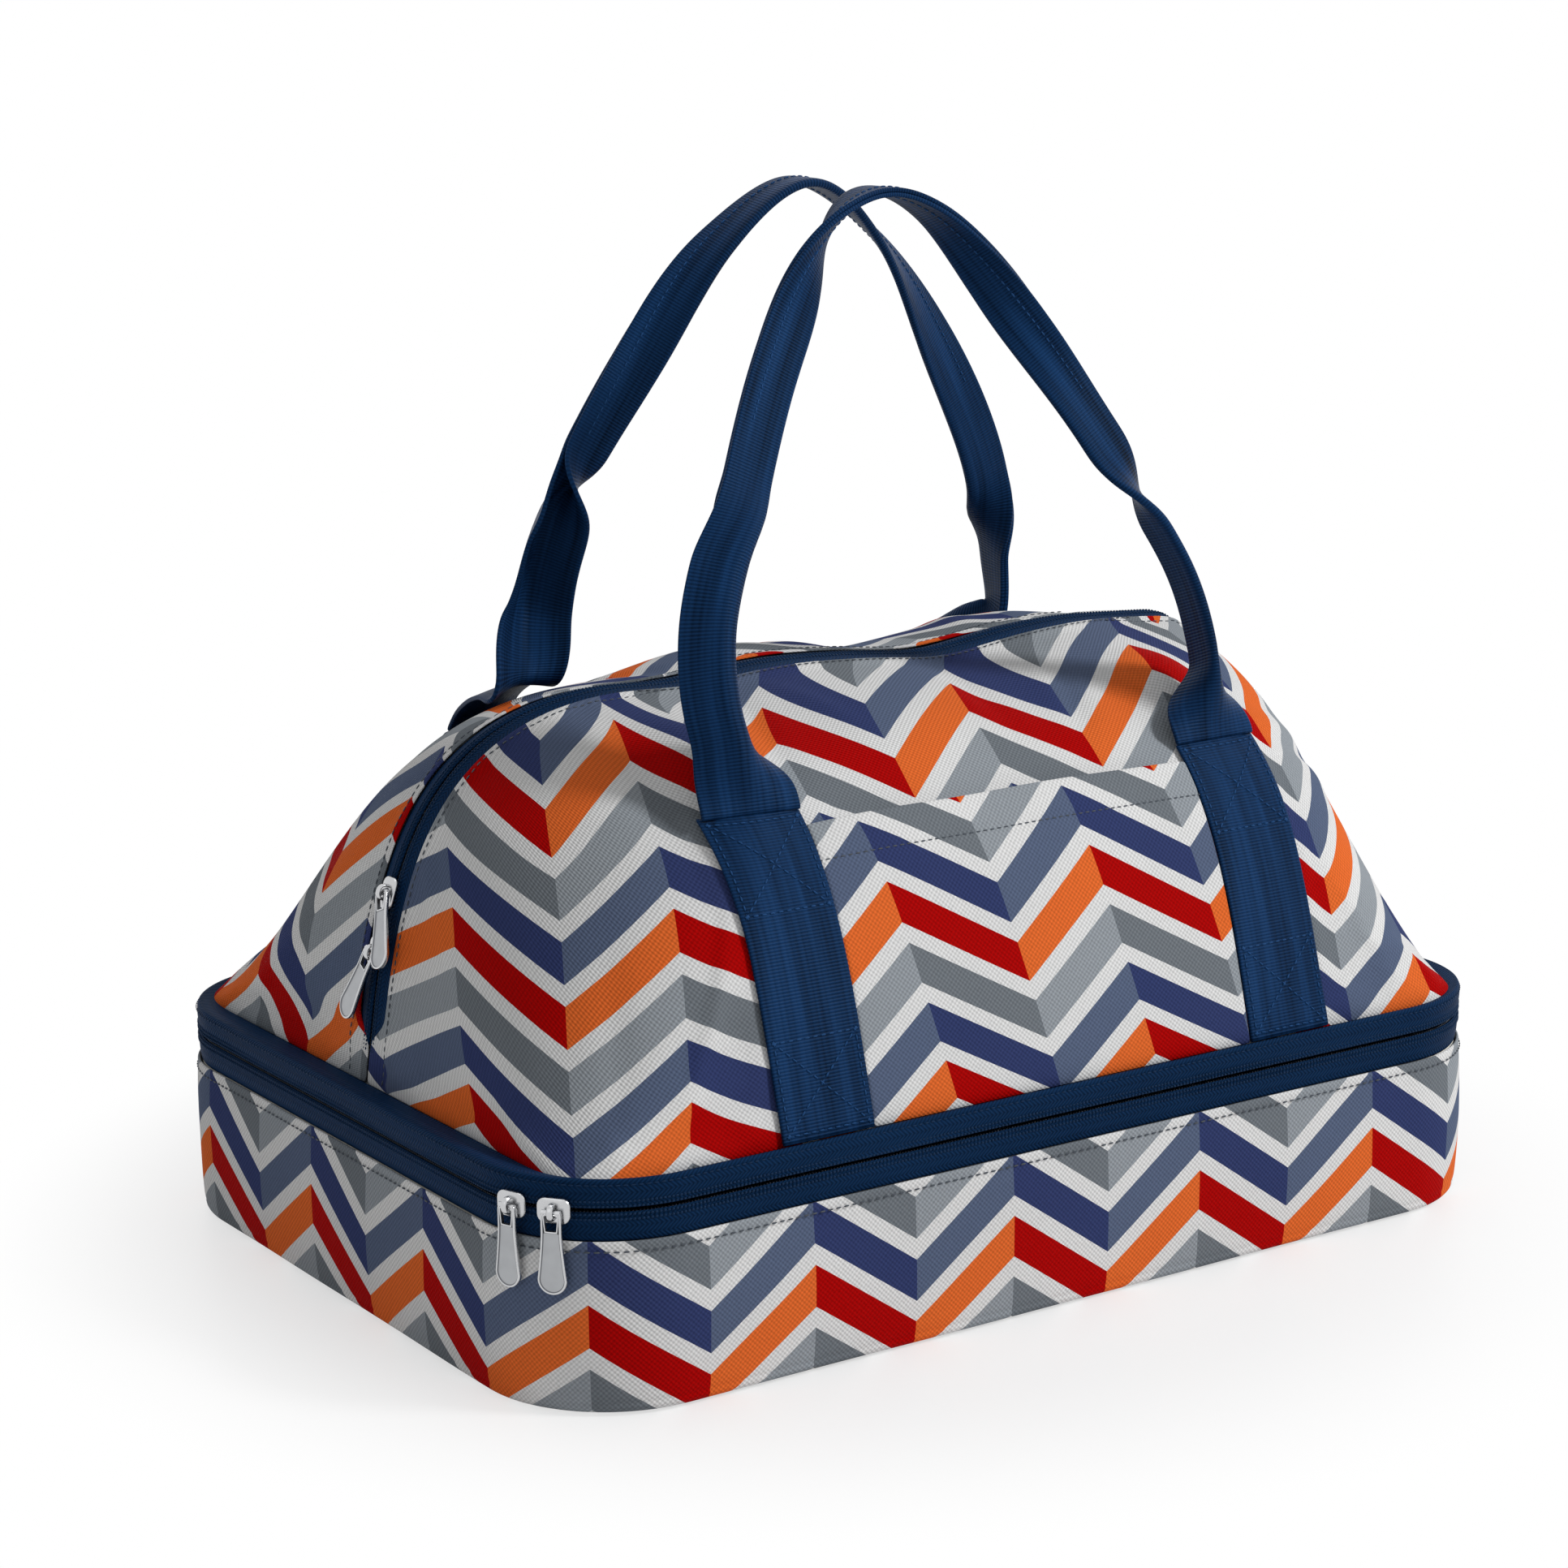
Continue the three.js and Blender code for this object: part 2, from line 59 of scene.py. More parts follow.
def report(stage):
    print("carrier:", stage)


def smooth(low, high, value):
    share = np.clip((np.asarray(value, float) - low) / (high - low), 0.0, 1.0)
    return share * share * (3 - 2 * share)


def nodeBox(name):
    low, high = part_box(name)
    return np.array(low) / mm, np.array(high) / mm


def lengthsAlong(points):
    # how far along a line each of its points lies
    return np.concatenate([[0], np.cumsum(np.linalg.norm(np.diff(points, axis=0), axis=1))])


def spotsAlong(want, walk, points):
    return np.stack([np.interp(want, walk, points[:, k]) for k in range(points.shape[1])], -1)


def evenSpots(points, count):
    # the same line with evenly spaced points, and how far along they lie
    walk = lengthsAlong(points)
    want = np.linspace(0, walk[-1], count)
    return spotsAlong(want, walk, points), want


# mesh helpers

def gridFaces(rows, columns, flip=False):
    faces = []
    for r in range(rows - 1):
        for c in range(columns - 1):
            a, b = r * columns + c, (r + 1) * columns + c
            faces.append((a, b, b + 1, a + 1) if flip else (a, a + 1, b + 1, b))
    return faces


def makePiece(name, points, faces, material, uvs=None):
    mesh = bpy.data.meshes.new(name)
    mesh.from_pydata((np.asarray(points, float).reshape(-1, 3) * mm).tolist(), [], faces)
    for layerName, values in (uvs or {}).items():
        layer = mesh.uv_layers.new(name=layerName)
        corner = np.zeros(len(mesh.loops), np.int32)
        mesh.loops.foreach_get("vertex_index", corner)
        flat = np.asarray(values, np.float32).reshape(-1, 2)[corner] * mm
        layer.data.foreach_set("uv", flat.ravel())
    mesh.materials.append(material)
    mesh.shade_smooth()
    piece = bpy.data.objects.new(name, mesh)
    bpy.context.collection.objects.link(piece)
    return piece


def makeGrid(name, grid, cloth, material, flip=False, printed=None):
    rows, columns = grid.shape[:2]
    uvs = {"cloth": cloth} if printed is None else {"cloth": cloth, "print": printed}
    return makePiece(name, grid, gridFaces(rows, columns, flip), material, uvs)


def thicken(piece, thickness, offset=-1.0, levels=0):
    solid = piece.modifiers.new("thickness", "SOLIDIFY")
    solid.thickness = thickness * mm
    solid.offset = offset
    solid.use_even_offset = True
    if levels:
        soft = piece.modifiers.new("soft", "SUBSURF")
        soft.levels = soft.render_levels = levels


def gridNormals(grid):
    alongRows = np.gradient(grid, axis=0)
    alongColumns = np.gradient(grid, axis=1)
    normal = np.cross(alongColumns, alongRows)
    return normal / np.maximum(np.linalg.norm(normal, axis=2, keepdims=True), 1e-9)


def flatPlan(across, along):
    # where a grid's points lie on the flat cloth, columns across it and rows along it
    return np.stack(np.broadcast_arrays(across[None, :], along[:, None]), -1)


def closeRings(piece):
    weld = piece.modifiers.new("close", "WELD")
    weld.merge_threshold = 0.1 * mm


def fit(piece, slot, *nodes, body=None):
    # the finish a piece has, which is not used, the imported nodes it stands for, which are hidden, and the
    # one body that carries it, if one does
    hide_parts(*nodes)
    if body:
        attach(piece, body)


def declareSheet(piece):
    layer = piece.data.uv_layers["cloth"]
    uv = np.zeros(len(piece.data.loops) * 2, np.float32)
    layer.data.foreach_get("uv", uv)


# shader helpers

def addNode(tree, kind, **settings):
    made = tree.nodes.new(kind)
    for key, value in settings.items():
        setattr(made, key, value)
    return made


def feed(tree, socket, value):
    if isinstance(value, bpy.types.NodeSocket):
        tree.links.new(value, socket)
    elif value is not None:
        socket.default_value = value


def calc(tree, operation, *values):
    made = addNode(tree, "ShaderNodeMath", operation=operation)
    for socket, value in zip(made.inputs, values):
        feed(tree, socket, value)
    return made.outputs[0]


def blendColours(tree, factor, first, second, mode="MIX"):
    made = addNode(tree, "ShaderNodeMix", data_type="RGBA", blend_type=mode)
    feed(tree, made.inputs[0], factor)
    feed(tree, made.inputs[6], first)     # the colour sockets come after those for numbers and vectors
    feed(tree, made.inputs[7], second)
    return made.outputs[2]


def colour(code):
    parts = [int(code[i:i + 2], 16) / 255 for i in (0, 2, 4)]
    linear = [p / 12.92 if p <= 0.04045 else ((p + 0.055) / 1.055) ** 2.4 for p in parts]
    return (*linear, 1.0)


def newGroup(name, inputs, outputs):
    group = bpy.data.node_groups.new(name, "ShaderNodeTree")
    for label, kind, value in inputs:
        socket = group.interface.new_socket(name=label, in_out="INPUT", socket_type=kind)
        if value is not None:
            socket.default_value = value
    for label, kind in outputs:
        group.interface.new_socket(name=label, in_out="OUTPUT", socket_type=kind)
    return group, addNode(group, "NodeGroupInput"), addNode(group, "NodeGroupOutput")


def useGroup(tree, group, **values):
    made = addNode(tree, "ShaderNodeGroup", node_tree=group)
    for label, value in values.items():
        feed(tree, made.inputs[label], value)
    return made


# the zigzag stripe: a peak at u = 0, the top of a blue band at v = 0
stripe = dict(
    period=85.2 * mm, slope=0.71, pitch=22.9 * mm, inked=0.667,
    white="d6d6d6", navy="303a64", slate="546079", red="a40000", orange="d9662c",
    darkGrey="6c7278", lightGrey="8e949a",
)


def makeStripeGroup():
    group, entry, leave = newGroup(
        "zigzagStripe",
        [("Vector", "NodeSocketVector", None), ("Period", "NodeSocketFloat", stripe["period"]),
         ("Slope", "NodeSocketFloat", stripe["slope"]), ("Pitch", "NodeSocketFloat", stripe["pitch"]),
         ("Inked", "NodeSocketFloat", stripe["inked"])],
        [("Color", "NodeSocketColor")],
    )
    place = addNode(group, "ShaderNodeSeparateXYZ")
    group.links.new(entry.outputs["Vector"], place.inputs[0])
    period = entry.outputs["Period"]
    half = calc(group, "MULTIPLY", period, 0.5)
    fold = calc(group, "PINGPONG", place.outputs[0], half)
    drop = calc(group, "MULTIPLY_ADD", fold, entry.outputs["Slope"], place.outputs[1])
    steps = calc(group, "MULTIPLY", calc(group, "DIVIDE", drop, entry.outputs["Pitch"]), -1.0)
    bare = calc(group, "GREATER_THAN", calc(group, "FRACT", steps), entry.outputs["Inked"])
    order = calc(group, "FLOORED_MODULO", calc(group, "FLOOR", steps), 3.0)
    second = calc(group, "COMPARE", order, 1.0, 0.1)
    third = calc(group, "COMPARE", order, 2.0, 0.1)
    falling = calc(group, "LESS_THAN", calc(group, "WRAP", place.outputs[0], period, 0.0), half)
    pairs = [("slate", "navy"), ("orange", "red"), ("lightGrey", "darkGrey")]
    blue, warm, grey = [
        blendColours(group, falling, colour(stripe[light]), colour(stripe[dark])) for light, dark in pairs
    ]
    inked = blendColours(group, third, blendColours(group, second, blue, warm), grey)
    group.links.new(blendColours(group, bare, inked, colour(stripe["white"])), leave.inputs[0])
    return group


# how deep the threads look, painted into the colour as shade: grain of the yarn, then the darkest painted
# shade in the gaps and how much lighter the high spots are painted
weaveShading = dict(grain=900.0, detail=2.0, darkest=0.70, lighter=0.44)
ribShading = dict(columns=0.25, wave=0.4, darkest=0.55, lighter=0.8)


def makeWeaveGroup():
    group, entry, leave = newGroup(
        "plainWeave",
        [("Vector", "NodeSocketVector", None), ("Across", "NodeSocketFloat", 0.001),
         ("Along", "NodeSocketFloat", 0.001), ("Unevenness", "NodeSocketFloat", 0.3)],
        [("Height", "NodeSocketFloat"), ("Shade", "NodeSocketFloat")],
    )
    slub = addNode(group, "ShaderNodeTexNoise")
    slub.inputs["Scale"].default_value = weaveShading["grain"]
    slub.inputs["Detail"].default_value = weaveShading["detail"]
    group.links.new(entry.outputs["Vector"], slub.inputs["Vector"])
    place = addNode(group, "ShaderNodeSeparateXYZ")
    group.links.new(entry.outputs["Vector"], place.inputs[0])
    waves = []
    for axis, label in ((0, "Across"), (1, "Along")):
        turns = calc(group, "DIVIDE", place.outputs[axis], entry.outputs[label])
        waves.append(calc(group, "SINE", calc(group, "MULTIPLY", turns, math.pi)))
    over = calc(group, "MULTIPLY_ADD", calc(group, "MULTIPLY", *waves), 0.5, 0.5)
    rough = calc(group, "MULTIPLY", slub.outputs["Fac"], entry.outputs["Unevenness"])
    height = calc(group, "ADD", over, rough)
    # painted shade: darker in the gaps between threads, lighter on the high spots
    shade = calc(group, "MULTIPLY_ADD", height, weaveShading["lighter"], weaveShading["darkest"])
    group.links.new(height, leave.inputs["Height"])
    group.links.new(shade, leave.inputs["Shade"])
    return group


def makeRibGroup():
    group, entry, leave = newGroup(
        "wovenRibs",
        [("Vector", "NodeSocketVector", None), ("Rib", "NodeSocketFloat", 0.0012),
         ("Yarn", "NodeSocketFloat", 0.0016), ("Slant", "NodeSocketFloat", 0.0)],
        [("Height", "NodeSocketFloat"), ("Shade", "NodeSocketFloat")],
    )
    place = addNode(group, "ShaderNodeSeparateXYZ")
    group.links.new(entry.outputs["Vector"], place.inputs[0])
    yarn = entry.outputs["Yarn"]
    zigzag = calc(group, "PINGPONG", place.outputs[0], yarn)
    shifted = calc(group, "MULTIPLY_ADD", zigzag, entry.outputs["Slant"], place.outputs[1])
    turns = calc(group, "DIVIDE", shifted, entry.outputs["Rib"])
    wave = calc(group, "SINE", calc(group, "MULTIPLY", turns, 2 * math.pi))
    ribs = calc(group, "MULTIPLY_ADD", wave, ribShading["wave"], ribShading["wave"])
    across = calc(group, "MULTIPLY", calc(group, "DIVIDE", place.outputs[0], yarn), math.pi)
    columns = calc(group, "ABSOLUTE", calc(group, "SINE", across))
    height = calc(group, "MULTIPLY_ADD", columns, ribShading["columns"], ribs)
    # painted shade: darker between the ribs, lighter on their tops
    shade = calc(group, "MULTIPLY_ADD", height, ribShading["lighter"], ribShading["darkest"])
    group.links.new(height, leave.inputs["Height"])
    group.links.new(shade, leave.inputs["Shade"])
    return group


def makeWearAndShadeGroup():
    # random wear tone in the colour, multiplied by a Shade input that carries painted shade and painted sheen
    # where a material feeds one in
    group, entry, leave = newGroup(
        "softWearAndPaintedShade",
        [("Color", "NodeSocketColor", (1, 1, 1, 1)), ("Scale", "NodeSocketFloat", 30.0),
         ("Amount", "NodeSocketFloat", 0.1), ("Shade", "NodeSocketFloat", 1.0)],
        [("Color", "NodeSocketColor")],
    )
    place = addNode(group, "ShaderNodeTexCoord")
    cloud = addNode(group, "ShaderNodeTexNoise")
    cloud.inputs["Detail"].default_value = 4.0
    group.links.new(place.outputs["Object"], cloud.inputs["Vector"])
    group.links.new(entry.outputs["Scale"], cloud.inputs["Scale"])
    centred = calc(group, "SUBTRACT", cloud.outputs["Fac"], 0.5)
    level = calc(group, "MULTIPLY_ADD", centred, entry.outputs["Amount"], entry.outputs["Shade"])
    tone = addNode(group, "ShaderNodeCombineColor")
    for socket in tone.inputs:
        group.links.new(level, socket)
    made = blendColours(group, 1.0, entry.outputs["Color"], tone.outputs[0], "MULTIPLY")
    group.links.new(made, leave.inputs[0])
    return group


stripeGroup = makeStripeGroup()
weaveGroup = makeWeaveGroup()
ribGroup = makeRibGroup()
wearAndShadeGroup = makeWearAndShadeGroup()


def newMaterial(name, roughness, specular=0.5):
    material = bpy.data.materials.new(name)
    material.use_nodes = True
    shader = material.node_tree.nodes["Principled BSDF"]
    shader.inputs["Roughness"].default_value = roughness
    shader.inputs["Specular IOR Level"].default_value = specular
    return material, material.node_tree, shader


def addBump(tree, shader, height, strength, distance):
    bump = addNode(tree, "ShaderNodeBump")
    bump.inputs["Strength"].default_value = strength
    bump.inputs["Distance"].default_value = distance
    tree.links.new(height, bump.inputs["Height"])
    tree.links.new(bump.outputs[0], shader.inputs["Normal"])


def uvOf(tree, layer):
    return addNode(tree, "ShaderNodeUVMap", uv_map=layer).outputs[0]


canvasLook = dict(thread=0.95 * mm, unevenness=0.35, roughness=0.8, specular=0.05, bump=0.55, relief=0.4 * mm,
                  wearScale=22.0, wear=0.12)
liningLook = dict(thread=0.6 * mm, unevenness=0.2, roughness=0.55, specular=0.3, bump=0.3, relief=0.15 * mm,
                  wearScale=18.0, wear=0.16, dye="a3a6a9")


def makePlainWeave(name, look, printed=False):
    material, tree, shader = newMaterial(name, look["roughness"], look["specular"])
    thread = look["thread"]
    weave = useGroup(tree, weaveGroup, Vector=uvOf(tree, "cloth"), Across=thread, Along=thread,
                     Unevenness=look["unevenness"])
    if printed:
        dye = useGroup(tree, stripeGroup, Vector=uvOf(tree, "print")).outputs[0]
    else:
        dye = colour(look["dye"])
    # the weave's Shade paints shade into the gaps between threads
    toned = useGroup(tree, wearAndShadeGroup, Color=dye, Scale=look["wearScale"], Amount=look["wear"],
                    Shade=weave.outputs["Shade"])
    tree.links.new(toned.outputs[0], shader.inputs["Base Color"])
    addBump(tree, shader, weave.outputs["Height"], look["bump"], look["relief"])
    return material


webbingLook = dict(dye="102b4d", rib=1.2 * mm, yarn=2.4 * mm, slant=0.0, roughness=0.45, specular=0.07,
                   bump=0.6, relief=0.3 * mm, paintedSheenAmount=2.6)
tapeLook = dict(dye="0d2644", rib=1.7 * mm, yarn=3.0 * mm, slant=1.0, roughness=0.6, specular=0.04,
                bump=0.7, relief=0.3 * mm, paintedSheenAmount=0.5)
satinAndPaintedSheen = dict(tint=(0.3, 0.55, 1.0, 1.0), drawn=(170.0, 9.0, 1.0), wearScale=35.0, wear=0.25)    # a blue specular tint, the stretch of the painted sheen streaks, and wear


def makeRibbed(name, look):
    material, tree, shader = newMaterial(name, look["roughness"], look["specular"])
    shader.inputs["Specular Tint"].default_value = satinAndPaintedSheen["tint"]
    place = uvOf(tree, "cloth")
    ribs = useGroup(tree, ribGroup, Vector=place, Rib=look["rib"], Yarn=look["yarn"], Slant=look["slant"])
    # painted sheen: noise drawn out along the webbing lightens and darkens its colour in long streaks, on top
    # of the ribs' painted shade
    drawn = addNode(tree, "ShaderNodeVectorMath", operation="MULTIPLY")
    tree.links.new(place, drawn.inputs[0])
    drawn.inputs[1].default_value = satinAndPaintedSheen["drawn"]
    paintedSheenNoise = addNode(tree, "ShaderNodeTexNoise")
    paintedSheenNoise.inputs["Scale"].default_value = 1.0
    tree.links.new(drawn.outputs[0], paintedSheenNoise.inputs["Vector"])
    centred = calc(tree, "SUBTRACT", paintedSheenNoise.outputs["Fac"], 0.5)
    paintedSheenAndShade = calc(tree, "MULTIPLY_ADD", centred, look["paintedSheenAmount"], ribs.outputs["Shade"])
    toned = useGroup(tree, wearAndShadeGroup, Color=colour(look["dye"]), Scale=satinAndPaintedSheen["wearScale"],
                    Amount=satinAndPaintedSheen["wear"], Shade=paintedSheenAndShade)
    tree.links.new(toned.outputs[0], shader.inputs["Base Color"])
    addBump(tree, shader, ribs.outputs["Height"], look["bump"], look["relief"])
    return material


grainLook = dict(detail=5.0, wearShare=0.25, gloss=0.3)


def makeGrained(name, code, roughness, scale, wear, bump, relief, metallic=0.0, specular=0.5):
    material, tree, shader = newMaterial(name, roughness, specular)
    shader.inputs["Metallic"].default_value = metallic
    place = addNode(tree, "ShaderNodeTexCoord")
    grain = addNode(tree, "ShaderNodeTexNoise")
    grain.inputs["Scale"].default_value = scale
    grain.inputs["Detail"].default_value = grainLook["detail"]
    tree.links.new(place.outputs["Object"], grain.inputs["Vector"])
    toned = useGroup(tree, wearAndShadeGroup, Color=colour(code), Scale=scale * grainLook["wearShare"], Amount=wear)
    tree.links.new(toned.outputs[0], shader.inputs["Base Color"])
    gloss = grainLook["gloss"]
    spread = calc(tree, "MULTIPLY_ADD", grain.outputs["Fac"], gloss, roughness - gloss / 2)
    tree.links.new(spread, shader.inputs["Roughness"])
    addBump(tree, shader, grain.outputs["Fac"], bump, relief)
    return material


def makeThread(name, code, roughness=0.6, wear=0.3, specular=0.1):
    return makeGrained(name, code, roughness, 1500, wear, bump=0.3, relief=0.05 * mm, specular=specular)


def makeZinc(name, code, roughness, scale, wear, bump):
    return makeGrained(name, code, roughness, scale, wear, bump, relief=0.05 * mm, metallic=1.0)


canvas = makePlainWeave("printedCanvas", canvasLook, printed=True)
liningCloth = makePlainWeave("greyLiningCloth", liningLook)
webbing = makeRibbed("navyWebbing", webbingLook)
zipCloth = makeRibbed("navyZipTape", tapeLook)
tapeThread = makeThread("navyTapeThread", "112b49")
strapThread = makeThread("strapThread", "1c4371")
darkThread = makeThread("darkThread", "3c434c", roughness=0.7, wear=0.5, specular=0.5)
coilNylon = makeGrained("darkCoilNylon", "0d1a2c", 0.4, scale=900, wear=0.2, bump=0.2, relief=0.05 * mm)
whiteFoam = makeGrained("whiteFoam", "e4e2da", 0.9, scale=400, wear=0.2, bump=0.6, relief=0.4 * mm)
stiffBoard = makeGrained("stiffBoard", "5b564e", 0.8, scale=250, wear=0.4, bump=0.3, relief=0.2 * mm)
zincSilver = makeZinc("polishedZinc", "c2c3c5", 0.24, scale=700, wear=0.12, bump=0.05)
# the pulls' sunk faces take a darker copy of the zinc as painted shade in place of darker reflections; their
# higher roughness is real
zincFacePaintedShade = makeZinc("satinZincPaintedShade", "a3a5a8", 0.36, scale=900, wear=0.25, bump=0.12)
# a still darker copy of the zinc as painted shade in the grooves and the window's wall
zincPaintedShade = makeZinc("paintedShadeZinc", "6e7074", 0.4, scale=900, wear=0.2, bump=0.1)
report("materials")


# repeated small shapes along guide lines: stitches, thread rows and zip teeth

def makeRunTree():
    tree = bpy.data.node_groups.new("runAlongGuides", "GeometryNodeTree")
    face = tree.interface
    face.new_socket(name="Geometry", in_out="INPUT", socket_type="NodeSocketGeometry")
    for label in ("Pitch", "Length", "Width", "Height"):
        face.new_socket(name=label, in_out="INPUT", socket_type="NodeSocketFloat")
    face.new_socket(name="Finish", in_out="INPUT", socket_type="NodeSocketMaterial")
    face.new_socket(name="Geometry", in_out="OUTPUT", socket_type="NodeSocketGeometry")
    entry, leave = addNode(tree, "NodeGroupInput"), addNode(tree, "NodeGroupOutput")
    line = addNode(tree, "GeometryNodeMeshToCurve")
    tree.links.new(entry.outputs["Geometry"], line.inputs[0])
    spaced = addNode(tree, "GeometryNodeResampleCurve", mode="LENGTH")
    tree.links.new(line.outputs[0], spaced.inputs["Curve"])
    tree.links.new(entry.outputs["Pitch"], spaced.inputs["Length"])
    along = addNode(tree, "GeometryNodeInputTangent")
    outward = addNode(tree, "GeometryNodeInputNamedAttribute", data_type="FLOAT_VECTOR")
    outward.inputs["Name"].default_value = "outward"
    first = addNode(tree, "FunctionNodeAlignRotationToVector", axis="X")
    tree.links.new(along.outputs[0], first.inputs["Vector"])
    second = addNode(tree, "FunctionNodeAlignRotationToVector", axis="Z", pivot_axis="X")
    tree.links.new(first.outputs[0], second.inputs["Rotation"])
    tree.links.new(outward.outputs[0], second.inputs["Vector"])
    bead = addNode(tree, "GeometryNodeMeshUVSphere")
    bead.inputs["Segments"].default_value = 6
    bead.inputs["Rings"].default_value = 4
    bead.inputs["Radius"].default_value = 0.5
    smoothBead = addNode(tree, "GeometryNodeSetShadeSmooth")
    tree.links.new(bead.outputs["Mesh"], smoothBead.inputs[0])
    size = addNode(tree, "ShaderNodeCombineXYZ")
    for socket, label in zip(size.inputs, ("Length", "Width", "Height")):
        tree.links.new(entry.outputs[label], socket)
    spread = addNode(tree, "GeometryNodeInstanceOnPoints")
    tree.links.new(spaced.outputs[0], spread.inputs["Points"])
    tree.links.new(smoothBead.outputs[0], spread.inputs["Instance"])
    tree.links.new(second.outputs[0], spread.inputs["Rotation"])
    tree.links.new(size.outputs[0], spread.inputs["Scale"])
    real = addNode(tree, "GeometryNodeRealizeInstances")
    tree.links.new(spread.outputs[0], real.inputs[0])
    dressed = addNode(tree, "GeometryNodeSetMaterial")
    tree.links.new(real.outputs[0], dressed.inputs["Geometry"])
    tree.links.new(entry.outputs["Finish"], dressed.inputs["Material"])
    tree.links.new(dressed.outputs[0], leave.inputs[0])
    return tree


runTree = makeRunTree()


def runAlong(name, guides, sizes, material):
    # sizes are the pitch, then each bead's length, width and height
    points, edges, outward = [], [], []
    for line, out in guides:
        start = len(points)
        points.extend(np.asarray(line, float) * mm)
        outward.extend(np.broadcast_to(out, np.shape(line)))
        edges.extend((start + i, start + i + 1) for i in range(len(line) - 1))
    mesh = bpy.data.meshes.new(name + "_guide")
    mesh.from_pydata([tuple(p) for p in points], edges, [])
    layer = mesh.attributes.new("outward", "FLOAT_VECTOR", "POINT")
    layer.data.foreach_set("vector", np.asarray(outward, np.float32).ravel())
    guide = bpy.data.objects.new(name + "_guide", mesh)
    bpy.context.collection.objects.link(guide)
    run = guide.modifiers.new("run", "NODES")
    run.node_group = runTree
    values = {label: size * mm for label, size in zip(("Pitch", "Length", "Width", "Height"), sizes)}
    values["Finish"] = material
    for item in runTree.interface.items_tree:
        if item.in_out == "INPUT" and item.name in values:
            run[item.identifier] = values[item.name]
    bpy.context.view_layer.update()
    shown = guide.evaluated_get(bpy.context.evaluated_depsgraph_get())
    made = bpy.data.meshes.new_from_object(shown)
    made.name = name
    piece = bpy.data.objects.new(name, made)
    bpy.context.collection.objects.link(piece)
    guide.modifiers.clear()
    bpy.data.objects.remove(guide)
    return piece


# the lower compartment

base = dict(
    corner=51.0, bandTop=62.0, cloth=1.0, swell=1.3, seamRise=4.6, printPeak=56.2, printTop=63.2, hinge=300.0,
    ripple=0.25, waves=(23.0, 9.0, 61.0), stitchDrop=3.4, stitchOut=0.72, stitch=(3.3, 2.5, 0.7, 0.6),
)
bandLow, bandHigh = nodeBox("base_side_band")
base["length"], base["depth"] = (bandHigh - bandLow)[:2]
base["flatLong"] = base["length"] / 2 - base["corner"]
base["flatDeep"] = base["depth"] - 2 * base["corner"]
base["arc"] = base["corner"] * math.pi / 2
base["half"] = 2 * base["flatLong"] + base["flatDeep"] + 2 * base["arc"]


def outline(u, inset=0.0):
    # a place round the base and the way out there; u runs from the front middle towards the right
    u = np.asarray(u, float)
    along, way = np.abs(u), np.where(u < 0, -1.0, 1.0)
    past = along - base["flatLong"]
    firstTurn = np.clip(past / base["arc"], 0, 1)
    side = np.clip(past - base["arc"], 0, base["flatDeep"])
    secondTurn = np.clip((past - base["arc"] - base["flatDeep"]) / base["arc"], 0, 1)
    rest = np.maximum(past - 2 * base["arc"] - base["flatDeep"], 0)
    turn = (firstTurn + secondTurn) * math.pi / 2
    out = np.stack([way * np.sin(turn), -np.cos(turn), np.zeros_like(turn)], -1)
    x = way * (np.minimum(along, base["flatLong"]) - rest)
    y = side - base["flatDeep"] / 2
    centre = np.stack([x, y, np.zeros_like(x)], -1)
    return centre + (base["corner"] - inset) * out, out


def wallGrid(u, profile, ripple=0.0):
    # a wall round the base: profile points are (how far out, how high)
    place, out = outline(u)
    along, up, fading = base["waves"]
    rows = []
    for outset, z in profile:
        wave = ripple * np.sin(u / along + z / up) * np.sin(u / fading)
        row = place + out * (outset + wave)[:, None]
        row[:, 2] = z
        rows.append(row)
    return np.array(rows)


def wallCloth(u, grid):
    steps = np.linalg.norm(np.diff(grid, axis=0), axis=2).mean(axis=1)
    return flatPlan(u, np.concatenate([[0], np.cumsum(steps)]))


def bandProfile():
    top = base["bandTop"]
    foot = [(-6.0, 0.5), (-3.6, 0.4), (-1.8, 1.0), (-0.6, 2.2), (-0.1, 3.6), (-0.5, base["seamRise"]),
            (0.1, 5.6)]
    heights = np.linspace(8, top - 2, 14)
    swell = base["swell"] * np.sin(math.pi * (heights - 5) / (top - 5)) ** 0.8
    edge = [(0.35, top - 0.8), (0.0, top), (-0.7, top + 0.1)]
    return foot + list(zip(swell, heights)) + edge


def makeBand():
    u = np.linspace(-base["half"], base["half"], 401)
    grid = wallGrid(u, bandProfile(), base["ripple"])
    across = np.broadcast_to(u - base["printPeak"], grid.shape[:2])
    printed = np.stack([across, grid[..., 2] - base["printTop"]], -1)
    band = makeGrid("base_band", grid, wallCloth(u, grid), canvas, printed=printed)
    thicken(band, base["cloth"], levels=1)
    fit(band, "canvas", "base_side_band", body="base")
    declareSheet(band)


def nestedRings(u, inset, rings=16):
    # outlines one inside the other, from the given inset in to a short line along the middle
    rows = [outline(u, d)[0] for d in np.linspace(inset, base["corner"] - 0.5, rings // 2)]
    core = rows[-1]
    long, deep = base["flatLong"], base["flatDeep"] / 2
    for share in np.linspace(0, 1, rings // 2 + 1)[1:]:
        rows.append(core * np.array([1 - share * deep / long, 1 - share, 1]))
    return rows


def plateGrid(inset, z, dome=0.0, count=241):
    rows = nestedRings(np.linspace(-base["half"], base["half"], count), inset)
    grid = np.array(rows)
    grid[..., 2] = z + dome * (1 - np.linspace(1, 0, len(rows))[:, None] ** 2)
    return grid


